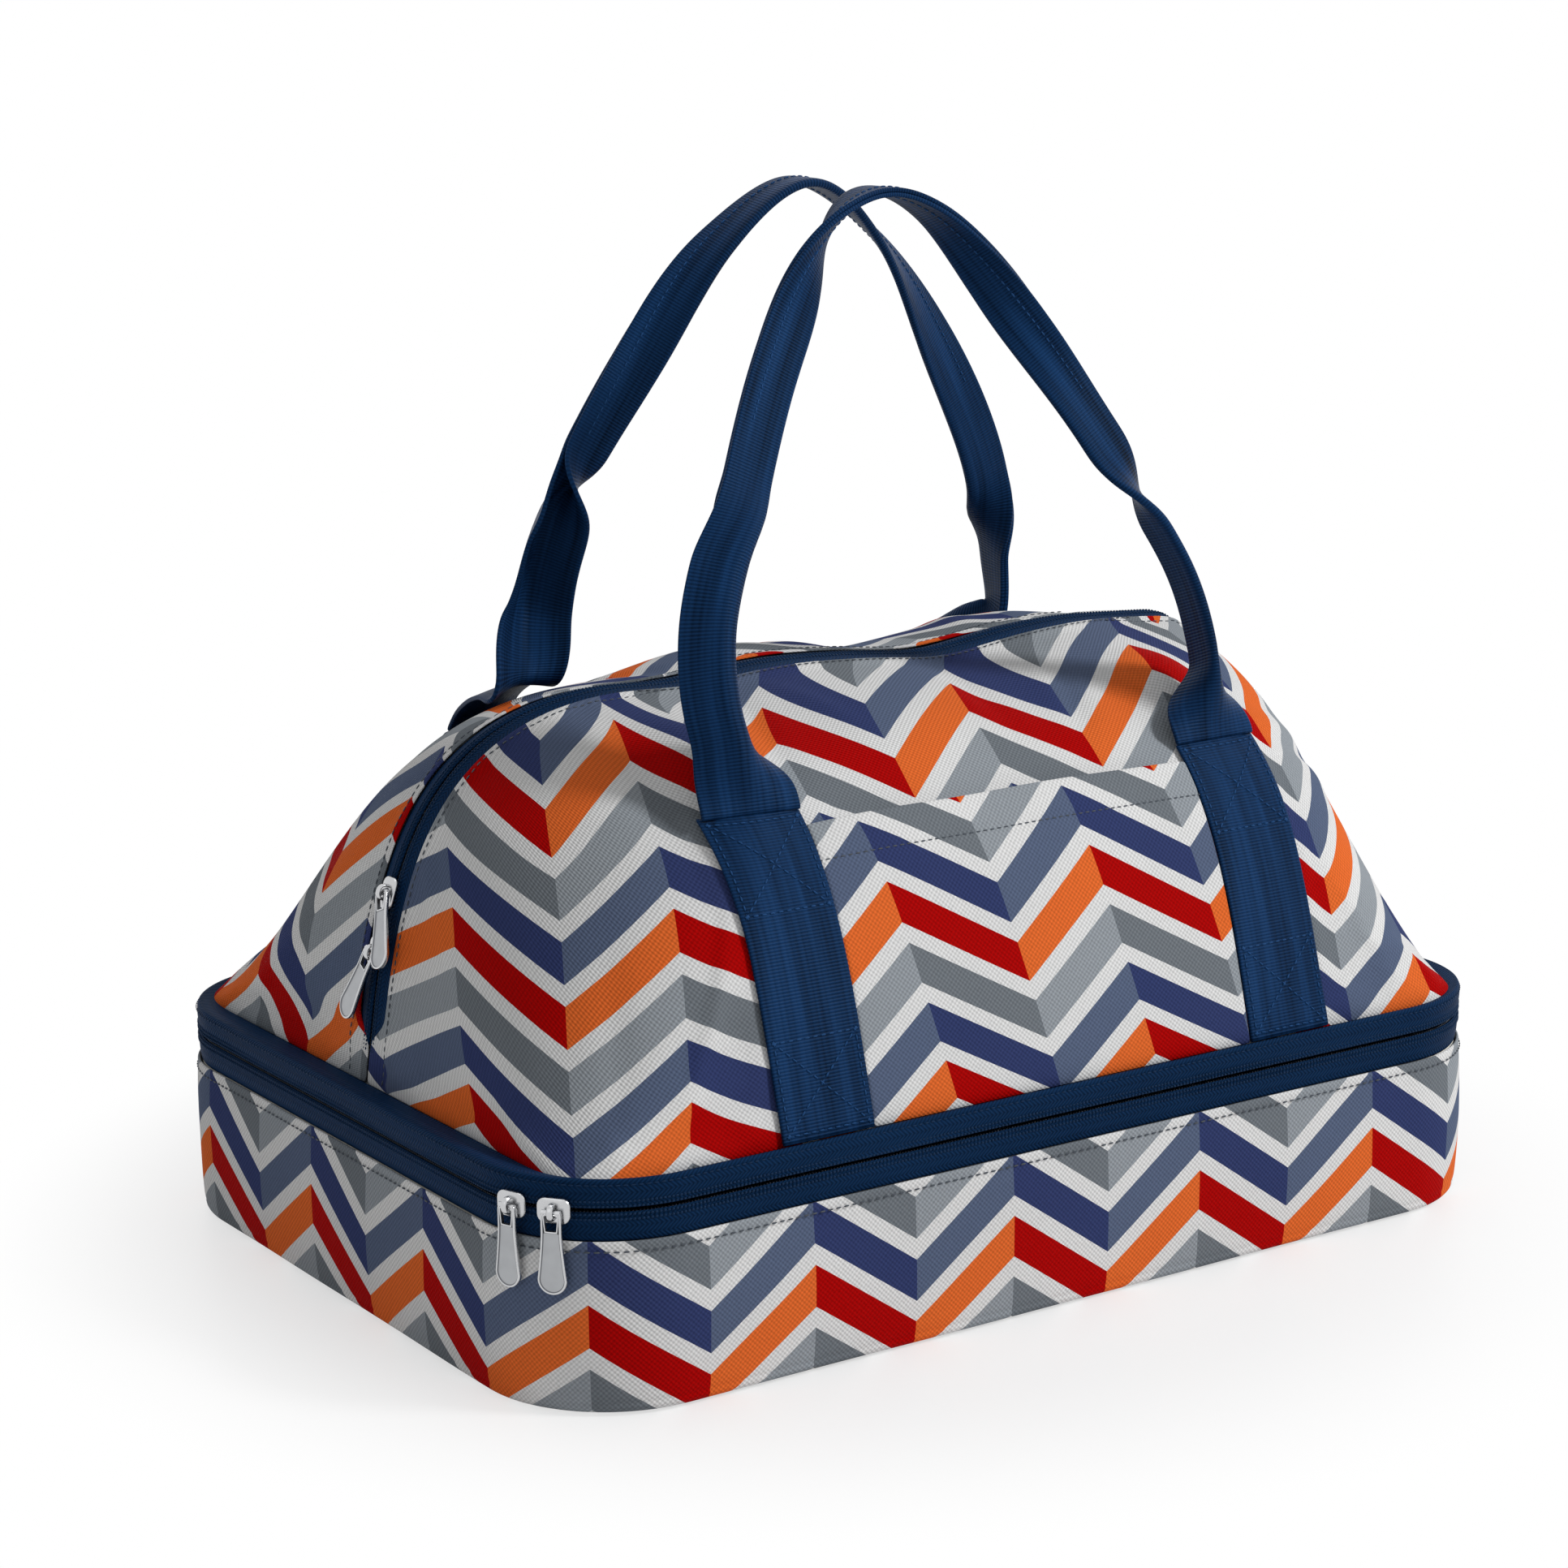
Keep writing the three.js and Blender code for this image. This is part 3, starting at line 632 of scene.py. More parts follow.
def makePlate(name, body, node, slot, material, inset, z, thickness, dome=0.0, flip=False, printed=False):
    grid = plateGrid(inset, z, dome=dome)
    cloth = grid[..., :2]
    piece = makeGrid(name, grid, cloth, material, flip=flip, printed=cloth if printed else None)
    closeRings(piece)
    thicken(piece, thickness)
    fit(piece, slot, node, body=body)
    return piece


tub = dict(
    cloth=0.5, turnIn=6.0, floorLift=0.9, floorRipple=0.3, floorWaves=(17, 23), footLift=0.7,
    foot=((0.2, 3.4), (0.9, 1.4), (2.8, 0.5), (6.0, 0.4)), wallStart=10.0, slack=0.35, ripple=0.3, ripples=18,
    lean=7.0,
)


def makeLiningTub():
    # floor, rounded foot and wall in one cloth; foot points are (how high, how far in)
    low, high = nodeBox("base_lining")
    inset = base["length"] / 2 - high[0]
    u = np.linspace(-base["half"], base["half"], 321)
    place, out = outline(u, inset)
    rows = []
    for row in nestedRings(u, inset + tub["turnIn"])[::-1]:
        wave = np.sin(row[:, 0] / tub["floorWaves"][0]) * np.sin(row[:, 1] / tub["floorWaves"][1])
        row[:, 2] = low[2] + tub["floorLift"] + tub["floorRipple"] * wave
        rows.append(row)
    for lift, draw in tub["foot"]:
        row = outline(u, inset + draw)[0]
        row[:, 2] = low[2] + tub["footLift"] + lift
        rows.append(row)
    turns = tub["ripples"] * math.pi * u / base["half"]
    for z in np.linspace(low[2] + tub["wallStart"], high[2], 10):
        fading = np.sin(math.pi * (z - low[2]) / (high[2] - low[2]))
        pull = tub["slack"] + tub["ripple"] * np.sin(turns + z / tub["lean"]) * fading
        row = place - out * pull[:, None]
        row[:, 2] = z
        rows.append(row)
    grid = np.array(rows)
    piece = makeGrid("base_lining_tub", grid, wallCloth(u, grid), liningCloth, flip=True)
    closeRings(piece)
    thicken(piece, tub["cloth"])
    fit(piece, "grey_lining", "base_lining", body="base")
    declareSheet(piece)


wallFoam = dict(thickness=3.7, face=0.1, edge=0.8, rounding=4.0, ripple=0.1, fill=0.8)


def makeWallFoam():
    low, high = nodeBox("base_side_foam")
    bottom, top = low[2], high[2]
    outset = high[0] - base["length"] / 2
    edge, rounding = wallFoam["edge"], wallFoam["rounding"]
    flat = [bottom + edge, *np.linspace(bottom + rounding, top - rounding, 7), top - edge]
    profile = [(outset - edge, bottom), *((outset - wallFoam["face"], z) for z in flat), (outset - edge, top)]
    u = np.linspace(-base["half"], base["half"], 241)
    grid = wallGrid(u, profile, wallFoam["ripple"])
    foam = makeGrid("base_wall_foam", grid, wallCloth(u, grid), whiteFoam)
    thicken(foam, wallFoam["thickness"])
    fit(foam, "white_foam", "base_side_foam", body="base")


makeBand()
bottomCloth = makePlate("base_bottom_cloth", "base", "base_bottom_panel", "canvas", canvas,
                        inset=4.6, z=0.3, thickness=0.9, flip=True, printed=True)
declareSheet(bottomCloth)
foamTop = nodeBox("base_bottom_foam")[1][2]
floorFoam = makePlate("base_floor_foam", "base", "base_bottom_foam", "white_foam", whiteFoam,
                      inset=1.8, z=foamTop - 0.2, thickness=3.6)
makeWallFoam()
makeLiningTub()
board = frame["nodes"]["base_bottom_board"]
board.data.materials.clear()
board.data.materials.append(stiffBoard)
report("lower compartment")


# the base zip: a tape on each side of the slit, and the cloth hinge behind

zipSet = dict(
    line=72.8, tapeLow=61.4, tapeTop=83.6, slit=0.5, thickness=1.0, lowerRipple=0.12, upperRipple=0.3,
    frontLedge=6.0, endLedge=12.0, hingeGap=0.5, hingeInset=0.6, hingeDip=0.5, dipWidth=1.5, hingeFold=4.0,
    teethRise=1.15, teethOut=-2.5, teeth=(1.25, 0.8, 1.5, 1.3),
    rowRise=0.9, rowGap=1.7, rowOut=-0.5, rows=(1.5, 1.3, 1.0, 1.1),
    stitchDrop=1.9, stitchOut=0.12, stitch=(2.6, 2.0, 0.55, 0.5),
)
zipReach = base["half"] - base["hinge"] / 2
zipU = np.linspace(-zipReach, zipReach, 361)


def lowerTapeProfile():
    z0, z1 = zipSet["tapeLow"], zipSet["line"] - zipSet["slit"]
    return [(-1.5, z0), (-1.1, z0 + 1.5), (-0.75, z0 + 3.5), (-0.55, z0 + 6), (-0.5, z1 - 3.6),
            (-0.55, z1 - 2.2), (-0.55, z1 - 1.0), (-0.8, z1 - 0.3), (-1.3, z1)]


def upperTapeProfile():
    z0, z1 = zipSet["line"] + zipSet["slit"], zipSet["tapeTop"]
    return [(-1.3, z0), (-0.8, z0 + 0.3), (-0.5, z0 + 1.0), (-0.4, z0 + 2.2), (-0.2, z0 + 3.8),
            (0.05, z0 + 6), (0.1, z0 + 8), (-0.1, z1 - 0.6), (-0.7, z1), *ledgeProfile(zipU)]


def ledgeProfile(u):
    # the tape's turned-in edge, which runs in under the tote wherever that stands back
    out = outline(u)[1]
    ledge = zipSet["frontLedge"] * out[:, 1] ** 2 + zipSet["endLedge"] * out[:, 0] ** 2
    z1 = zipSet["tapeTop"]
    return [(-1.8 + 0 * ledge, z1 - 0.05), (-0.5 * ledge, z1 - 0.9), (-0.85 * ledge, z1 - 1.7),
            (-ledge - 1.0, z1 - 2.1)]


def makeBaseTape(name, body, node, profile, ripple):
    grid = wallGrid(zipU, profile, ripple)
    tape = makeGrid(name, grid, wallCloth(zipU, grid)[..., ::-1], zipCloth)
    thicken(tape, zipSet["thickness"], levels=1)
    fit(tape, "navy_tape", node, body=body)
    declareSheet(tape)


def makeHinge():
    reach = base["half"] - zipReach - zipSet["hingeGap"]
    across = np.linspace(-reach, reach, 61)
    u = base["half"] + across
    u = np.where(u > base["half"], u - 2 * base["half"], u)
    profile = []
    for z in np.linspace(zipSet["tapeLow"], zipSet["tapeTop"] - 0.4, 22):
        dip = zipSet["hingeDip"] * math.exp(-((z - zipSet["line"]) / zipSet["dipWidth"]) ** 2)
        profile.append((-zipSet["hingeInset"] - dip, z))
    grid = wallGrid(u, profile + ledgeProfile(u))
    hinge = makeGrid("hinge_cloth", grid, wallCloth(across, grid)[..., ::-1], zipCloth)
    thicken(hinge, zipSet["thickness"])
    fit(hinge, "navy_tape", "hinge_strip_lower", "hinge_strip_upper")
    declareSheet(hinge)
    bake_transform(hinge)


def wallLine(z, outset):
    place, out = outline(zipU)
    line = place + out * outset
    line[:, 2] = z
    return line, out


def makeBaseZipRows():
    slit, line = zipSet["slit"], zipSet["line"]
    for name, body, way, node in (("base_zip", "base", -1, "base_zip_coil_lower"),
                                  ("lid_zip", "tote", 1, "lid_zip_coil_upper")):
        guide = wallLine(line + way * zipSet["teethRise"], zipSet["teethOut"])
        teeth = runAlong(f"{name}_teeth", [guide], zipSet["teeth"], coilNylon)
        fit(teeth, "coil_nylon", node, body=body)
        rises = (zipSet["rowRise"], zipSet["rowGap"] + zipSet["rowRise"])
        guides = [wallLine(line + way * (slit + rise), zipSet["rowOut"]) for rise in rises]
        thread = runAlong(f"{name}_thread_rows", guides, zipSet["rows"], tapeThread)
        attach(thread, body)


def makeBaseStitches():
    band = wallLine(base["bandTop"] - base["stitchDrop"], base["stitchOut"])
    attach(runAlong("base_top_stitch", [band], base["stitch"], darkThread), "base")
    tape = wallLine(zipSet["tapeTop"] - zipSet["stitchDrop"], zipSet["stitchOut"])
    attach(runAlong("lid_tape_stitch", [tape], zipSet["stitch"], tapeThread), "tote")


makeBaseTape("base_zip_tape", "base", "base_zip_tape_lower", lowerTapeProfile(), zipSet["lowerRipple"])
makeBaseTape("lid_zip_tape", "tote", "lid_zip_tape_upper", upperTapeProfile(), zipSet["upperRipple"])
makeHinge()
makeBaseZipRows()
makeBaseStitches()
report("base zip and hinge")


# the tote skin

tote = dict(
    endLean=9.0, endShoulder=22.0, leftCrown=105.0, rightCrown=45.0, frontLean=35.0, frontShoulder=12.0,
    bulgeHeight=73.7, crownDrop=3.0, rimCorner=27.0, fullRound=0.95, frontReach=0.45, backReach=1.0,
    rimEnd=203.0, rimFront=150.0, rimHeight=81.3, crownHeight=215.0, zipEnd=105.0, zipFade=(-9.0, 1.0),
    zipEdge=9.3, zipLap=1.2, cloth=1.0, lining=0.4, liningInset=3.0, liningEdge=3.4, liningTop=0.98,
    liningFoot=0.004,
)
skinNames = {-1: "tote_front", 1: "tote_back"}


def bezier(share, points):
    p, q, r, s = points
    rest = 1 - share
    return p * rest ** 3 + 3 * q * share * rest ** 2 + 3 * r * share ** 2 * rest + s * share ** 3


def heightAt(share):
    rim, top = tote["rimHeight"], tote["crownHeight"]
    return bezier(share, [rim, rim + tote["bulgeHeight"], top - tote["crownDrop"], top])


def depthOf(share):
    front = tote["rimFront"]
    return bezier(share, [front, front - tote["frontLean"], front - tote["frontShoulder"], 0.0])


def endOf(share, crown):
    end = tote["rimEnd"]
    return bezier(share, [end, end - tote["endLean"], end - tote["endShoulder"], end - crown])


def toteLevel(share, side, inset=0.0):
    soft = 1 - (1 - share) ** 3
    depth = depthOf(share)
    left, right = endOf(share, tote["leftCrown"]), endOf(share, tote["rightCrown"])
    reach = tote["frontReach"] if side < 0 else tote["backReach"]

    def corner(full):
        return tote["rimCorner"] + (full - tote["rimCorner"]) * soft - inset

    return dict(left=left - inset, right=right - inset, b=depth - inset, r=corner(depth * tote["fullRound"]),
                leftReach=corner(left * reach), rightReach=corner(right * reach), z=heightAt(share) - inset)


def toteOutline(share, side, inset=0.0, edge=0.0, count=181):
    # one level from the left end round the front or back to the right end, cut off at edge from the zip
    level = toteLevel(share, side, inset)
    angle = np.linspace(0, math.pi / 2, 48)
    leftX = -level["left"] + level["leftReach"] * (1 - np.cos(angle))
    rightX = (level["right"] - level["rightReach"] * (1 - np.cos(angle)))[::-1]
    depth = level["b"] - level["r"] + level["r"] * np.sin(angle)
    x = np.concatenate([[-level["left"]], leftX, rightX, [level["right"]]])
    y = np.concatenate([[0.0], depth, depth[::-1], [0.0]])
    line = np.stack([x, y], -1)
    walk = lengthsAlong(line)
    half = len(walk) // 2
    start = np.interp(edge, y[:half], walk[:half])
    stop = np.interp(edge, y[half:][::-1], walk[half:][::-1])
    want = np.linspace(start, stop, count)
    middle = np.interp(0.0, x[1:-1], walk[1:-1])
    spots = spotsAlong(want, walk, line)
    return np.column_stack([spots[:, 0], side * spots[:, 1], np.full(count, level["z"])]), want - middle


shareTable = np.linspace(0, 1, 2001)
heightTable = heightAt(shareTable)
riseTable = lengthsAlong(np.stack([heightTable, depthOf(shareTable)], -1))


def shareAt(height):
    return np.interp(height, heightTable, shareTable)


def riseAt(share):
    return np.interp(share, shareTable, riseTable)


# how the soft tote fills out, and where its ridge rises and dips: (height, place along, width)
filling = dict(
    height=105.0, reach=205.0, frontSwell=5.0, backSwell=5.0, face=(40, 100), crown=(188, 213), rear=(5, 40),
    ridge=[(2.6, 112, 34), (-3.2, 45, 26), (1.6, -25, 30), (-1.4, -72, 22)],
    puffs=[(3.5, -20, 34), (3.0, 105, 30)],
)


def humps(x, places):
    return sum(height * np.exp(-((x - middle) / width) ** 2) for height, middle, width in places)


def settle(points):
    p = np.array(points, float)
    x, y, z = p[..., 0], p[..., 1], p[..., 2]
    up = np.clip((z - tote["rimHeight"]) / filling["height"], 0, 1)
    across = np.clip(1 - (np.abs(x) / filling["reach"]) ** 3, 0, 1)
    belly = np.sin(math.pi * up ** 0.8) * across
    front, back = smooth(*filling["face"], -y), smooth(*filling["face"], y)
    rise = humps(x, filling["ridge"]) + smooth(*filling["rear"], y) * humps(x, filling["puffs"])
    p[..., 1] = y - filling["frontSwell"] * belly * front + filling["backSwell"] * belly * back
    p[..., 2] = z + smooth(*filling["crown"], z) * rise
    return p


# soft folds: place along and up the cloth, direction in degrees, length, width, depth
frontFolds = [
    (158, 122, -22, 20, 4.5, -1.3), (162, 109, -22, 22, 4.5, 1.1), (166, 99, -24, 22, 4.5, -1.3),
    (171, 89, -24, 24, 5.0, 1.0), (-100, 150, 92, 24, 21.0, 5.5), (106, 152, 88, 22, 20.0, 5.0),
    (-128, 140, 80, 30, 14.0, -2.0), (82, 146, 98, 28, 13.0, -1.8), (-70, 166, 75, 30, 6.0, -1.2),
    (-40, 176, 100, 26, 6.0, 1.0), (30, 172, 80, 30, 7.0, -1.0), (66, 160, 65, 34, 6.0, -1.2),
    (-176, 40, 80, 30, 7.0, -0.9), (-150, 22, 15, 34, 6.0, 0.8),
]
backFolds = [
    (-120, 40, 20, 60, 8.0, 1.2), (60, 60, 160, 70, 9.0, -1.4), (10, 165, 85, 40, 8.0, 1.4),
    (-70, 170, 70, 34, 7.0, -1.4), (90, 168, 100, 40, 8.0, 1.4), (170, 90, 110, 50, 7.0, -1.3),
    (-190, 80, 70, 50, 7.0, 1.2), (0, 30, 5, 90, 8.0, 0.9),
]
foldFade = dict(foot=14.0, top=10.0, hollow=0.6)


def foldDepth(u, v, folds):
    total = np.zeros(np.broadcast(u, v).shape)
    for u0, v0, degrees, length, width, depth in folds:
        c, s = math.cos(math.radians(degrees)), math.sin(math.radians(degrees))
        along = ((u - u0) * c + (v - v0) * s) / length
        across = (-(u - u0) * s + (v - v0) * c) / width
        total += depth * np.exp(-along ** 2 - across ** 2) * (1 - foldFade["hollow"] * across ** 2)
    return total


# columns of the stripe stay upright, seen from the front left, where the cloth rounds the ends
turning = dict(
    slope=(0.826, -0.563), peak=8.4, right=(125.0, 155.0), rightFacing=0.505, rightLeast=0.8, rightMost=5.0,
    rightClimb=(0.135, 0.198), rightFall=0.206, leftColumns=2.5, leftFacing=0.943, leftLeast=0.66,
    leftMost=1.2,
)


def facingOf(u, grid):
    steps = np.diff(grid[..., :2], axis=1) @ np.array(turning["slope"])
    return steps / np.diff(u, axis=1)


def joinSteps(first, steps):
    return np.concatenate([first, first + np.cumsum(steps, axis=1)], axis=1)


def roundRight(u, grid):
    # the stripe's place across, and how much it climbs, where the cloth turns away at the right end
    begin, end = turning["right"]
    rate = np.clip(facingOf(u, grid) / turning["rightFacing"], turning["rightLeast"], 1.0)
    rate = 1 - (1 - rate) * smooth(begin, end, u[:, 1:])
    across = joinSteps(u[:, :1], np.diff(u, axis=1) * rate)
    corner = np.array([spotsAlong(begin, u[r], grid[r, :, :2]) for r in range(len(u))])
    away = (grid[..., :2] - corner[:, None]) @ np.array(turning["rightClimb"])
    climb = np.maximum(away - turning["rightFall"] * (across - begin), 0)
    most = turning["rightMost"]
    return across, most * np.tanh(climb / most) * smooth(begin, end, u)


def roundLeft(across, u, grid):
    valley = turning["peak"] - turning["leftColumns"] * stripe["period"] / mm
    rate = np.clip(facingOf(u, grid) / turning["leftFacing"], turning["leftLeast"], turning["leftMost"])
    steps = np.where(across[:, 1:] < valley, np.diff(u, axis=1) * rate, np.diff(across, axis=1))
    return joinSteps(across[:, -1:] - steps.sum(axis=1, keepdims=True), steps)


# how the stripe lies on each side: spans are along the cloth, levels and drops are up it
frontLie = dict(
    level=112.5, scale=0.94, roofScale=0.88, roofGrowth=0.0031, roofSlant=0.0037, roofSpan=(110, 190),
    tiltLevel=100.0,
    leftDrop=17.0, leftTilt=0.12, leftSpan=(90, 230), rightDrop=7.0, rightSpan=(90, 150),
    leftShift=20.0, shiftSpan=(85, 123), leftLean=0.17, leanSpan=(85, 150),
)
backLie = dict(level=109.5, scale=0.95, peak=18.0, edgeShift=4.0, edgeColumns=2, roof=(118, 165),
               left=(86, 122))


def frontPrint(u, v, grid):
    # drawn out over the roof, a little lower at the ends
    tilt = v - frontLie["tiltLevel"]
    drop = (frontLie["leftDrop"] + frontLie["leftTilt"] * tilt) * smooth(*frontLie["leftSpan"], -u)
    across, climb = roundRight(u, grid)
    v = v + drop + frontLie["rightDrop"] * smooth(*frontLie["rightSpan"], u) + climb
    over, under = np.maximum(v - frontLie["level"], 0), np.minimum(v - frontLie["level"], 0)
    drawn = 1 - smooth(*frontLie["roofSpan"], u)
    lean = frontLie["leftLean"] * (v - frontLie["tiltLevel"]) * smooth(*frontLie["leanSpan"], -u)
    lean = lean + frontLie["leftShift"] * smooth(*frontLie["shiftSpan"], -u)
    across = roundLeft(across - frontLie["roofSlant"] * drawn * over ** 2 - lean, u, grid)
    up = over * (frontLie["roofScale"] - frontLie["roofGrowth"] * drawn * over) + under / frontLie["scale"]
    return np.stack([across - turning["peak"], up], -1)


def backPrint(u, v):
    # follows the zip edge left of the strap and hangs straight elsewhere
    peak = backLie["peak"]
    end = u[:, :1] + backLie["edgeShift"] + backLie["edgeColumns"] * stripe["period"] / mm
    end = end + (peak - end) * smooth(*backLie["roof"], v)
    left = smooth(*backLie["left"], -u)
    up = (v - backLie["level"]) * backLie["scale"] - stripe["pitch"] / mm
    return np.stack([-u + end * left + peak * (1 - left), up], -1)


def toteSheet(side, inset, edge, top, foot=0.0, rows=58, columns=171, seamEdge=0.4):
    # one side from the rim up, which keeps to the seam at the ends and stands back from the zip above
    zipEnd, fade = tote["zipEnd"], tote["zipFade"]
    shares = np.interp(np.linspace(riseAt(foot), riseAt(top), rows), riseTable, shareTable)
    grid, us, vs = [], [], []
    for share in shares:
        cut = seamEdge + (edge - seamEdge) * smooth(zipEnd + fade[0], zipEnd + fade[1], heightAt(share))
        row, u = toteOutline(share, side, inset, cut, columns)
        grid.append(row)
        us.append(u)
        vs.append(np.full(columns, riseAt(share)))
    return settle(np.array(grid)), np.array(us), np.array(vs)


def creased(grid, u, v, side, folds):
    fade = smooth(0, foldFade["foot"], v) * smooth(0, foldFade["top"], v.max() - v)
    return grid - side * gridNormals(grid) * (foldDepth(u, v, folds) * fade)[..., None]


drape = dict(
    frames=16, slack=0.012, outward=3.2, inward=1.5, gravity=0.25,
    cloth=dict(quality=6, mass=0.2, tension_stiffness=20, compression_stiffness=20, shear_stiffness=8,
               bending_stiffness=0.3),
)
sewing = dict(edge=2, facing=60.0, strapMiddle=104.0, strapHalf=22.0, strapTop=188.0, pocketHalf=90.0,
              pocketTop=178.0)


def drapeSheet(grid, sewn, side):
    # lets the cloth settle between its seams: held where it is sewn, with a little slack elsewhere
    rows, columns = grid.shape[:2]
    trial = makePiece("trial_cloth", grid, gridFaces(rows, columns, side > 0), canvas)
    held = trial.vertex_groups.new(name="sewn")
    held.add([int(i) for i in np.flatnonzero(sewn.ravel())], 1.0, "REPLACE")
    cloth = trial.modifiers.new("settling", "CLOTH")
    cloth.settings.vertex_group_mass = "sewn"
    for setting, value in drape["cloth"].items():
        setattr(cloth.settings, setting, value)
    cloth.settings.shrink_min = -drape["slack"]
    cloth.settings.effector_weights.gravity = drape["gravity"]
    cloth.point_cache.frame_start, cloth.point_cache.frame_end = 1, drape["frames"]
    scene = bpy.context.scene
    for step in range(1, drape["frames"] + 1):
        scene.frame_set(step)
    shown = trial.evaluated_get(bpy.context.evaluated_depsgraph_get())
    found = np.zeros(rows * columns * 3)
    shown.data.vertices.foreach_get("co", found)
    scene.frame_set(1)
    trial.modifiers.clear()
    bpy.data.objects.remove(trial)
    normal = gridNormals(grid) * -side
    lift = ((found.reshape(rows, columns, 3) / mm - grid) * normal).sum(-1)
    print("carrier: cloth moved", round(float(lift.min()), 2), "to", round(float(lift.max()), 2), "mm")
    return grid + normal * np.clip(lift, -drape["inward"], drape["outward"])[..., None]


def sewnAreas(grid, side):
    # edges, and what lies under the straps and the slip pocket
    x, z = grid[..., 0], grid[..., 2]
    edge = sewing["edge"]
    sewn = np.zeros(x.shape, bool)
    sewn[:edge] = sewn[-edge:] = True
    sewn[:, :edge] = sewn[:, -edge:] = True
    facing = np.abs(grid[..., 1]) > sewing["facing"]
    fromStrap = np.abs(np.abs(x) - sewing["strapMiddle"])
    sewn |= (fromStrap < sewing["strapHalf"]) & (z < sewing["strapTop"]) & facing
    if side < 0:
        sewn |= (np.abs(x) < sewing["pocketHalf"]) & (z < sewing["pocketTop"]) & facing
    return sewn


upper = shareTable[len(shareTable) // 2:]
topShare = float(np.interp(-(tote["zipEdge"] + tote["zipLap"]), -depthOf(upper), upper))


def hangOn(piece, side):
    # the front, which gives way to the mouth flap at the fold, is baked where it stands on no body, and the
    # back is all tote
    if side < 0:
        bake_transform(piece)
    else:
        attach(piece, "tote")


def makeToteSheet(side, folds, *nodes):
    grid, u, v = toteSheet(side, 0.0, tote["zipEdge"], topShare)
    grid = drapeSheet(grid, sewnAreas(grid, side), side)
    grid = creased(grid, u, v, side, folds)
    printed = frontPrint(u, v, grid) if side < 0 else backPrint(u, v)
    sheet = makeGrid(skinNames[side], grid, np.stack([u, v], -1), canvas, flip=side > 0, printed=printed)
    thicken(sheet, tote["cloth"], levels=1)
    fit(sheet, "canvas", *nodes)
    declareSheet(sheet)
    hangOn(sheet, side)
    return grid


def makeToteLining(side, name, *nodes):
    edge = tote["liningEdge"]
    grid, u, v = toteSheet(side, tote["liningInset"], edge, tote["liningTop"], tote["liningFoot"],
                           rows=36, columns=111, seamEdge=edge)
    lining = makeGrid(name, grid, np.stack([u, v], -1), liningCloth, flip=side > 0)
    thicken(lining, tote["lining"])
    fit(lining, "grey_lining", *nodes)
    declareSheet(lining)
    hangOn(lining, side)


frontGrid = makeToteSheet(-1, frontFolds, "front_panel", "front_roof")
backGrid = makeToteSheet(1, backFolds, "back_panel")
makeToteLining(-1, "front_inner_lining", "front_lining", "front_roof_lining")
makeToteLining(1, "back_inner_lining", "back_lining")


deck = dict(lining=0.5, tuck=0.05, sag=-0.35, pad=3.8, padInset=0.3, padDrop=0.1, fill=0.7)


def makeDeck():
    high = nodeBox("deck_upper_lining")[1]
    inset = base["length"] / 2 - high[0]
    top = makePlate("deck_top_lining", "tote", "deck_upper_lining", "grey_lining", liningCloth,
                    inset=inset, z=high[2] - deck["tuck"], thickness=deck["lining"])
    declareSheet(top)
    padTop = nodeBox("deck_foam")[1][2]
    pad = makePlate("deck_pad", "tote", "deck_foam", "white_foam", whiteFoam,
                    inset=inset + deck["padInset"], z=padTop - deck["padDrop"], thickness=deck["pad"])
    low, high = nodeBox("deck_lower_lining")
    under = makePlate("deck_under_lining", "tote", "deck_lower_lining", "grey_lining", liningCloth,
                      inset=base["length"] / 2 - high[0], z=low[2] + deck["tuck"], thickness=deck["lining"],
                      dome=deck["sag"], flip=True)
    declareSheet(under)


makeDeck()
report("tote cloth")


# the tote zip over the ridge and down both ends

ridge = dict(
    columns=(0.7, 2.2, 4.0, 6.0, 8.2, 11.0), insets=(0.3, 0.15, 0.2, 0.45, 0.8, 1.35), tail=11.0,
    crown=0.9995, thickness=0.9, teethAt=(1.3, 1.9), teeth=(1.25, 0.8, 1.4, 1.3),
    rowsAt=((2.0, 0.1), (3.6, 0.1)), rows=(1.5, 1.2, 0.7, 0.7),
)


def ridgeCurve(side, away, inset, count):
    # where the tote skin stands a given way from the mid-plane, from one zip end over the ridge to the other
    shares = np.linspace(float(shareAt(tote["zipEnd"] - ridge["tail"])), ridge["crown"], 500)
    level = toteLevel(shares, side, inset)
    shares = shares[level["b"] > away]
    level = toteLevel(shares, side, inset)
    lift = np.clip((away - (level["b"] - level["r"])) / level["r"], 0, 1)
    bend = 1 - np.sqrt(1 - lift ** 2)
    left = np.stack([-level["left"] + level["leftReach"] * bend, level["z"]], -1)
    right = np.stack([level["right"] - level["rightReach"] * bend, level["z"]], -1)
    path, along = evenSpots(np.concatenate([left, right[::-1]]), count)
    return np.column_stack([path[:, 0], np.full(count, side * away), path[:, 1]]), along


def makeTopTape(side, name, nodes):
    lines = [ridgeCurve(side, away, inset, 241) for away, inset in zip(ridge["columns"], ridge["insets"])]
    grid = settle(np.stack([line for line, along in lines], 1))
    cloth = flatPlan(np.array(ridge["columns"]), lines[-1][1])
    tape = makeGrid(name, grid, cloth, zipCloth, flip=side > 0)
    thicken(tape, ridge["thickness"], levels=1)
    fit(tape, "navy_tape", *nodes)
    declareSheet(tape)
    hangOn(tape, side)


def ridgeGuide(side, away, inset):
    line = settle(ridgeCurve(side, away, inset, 300)[0])
    out = np.cross(np.array([0.0, 1.0, 0.0]), np.gradient(line, axis=0))
    return line, out / np.linalg.norm(out, axis=1, keepdims=True)


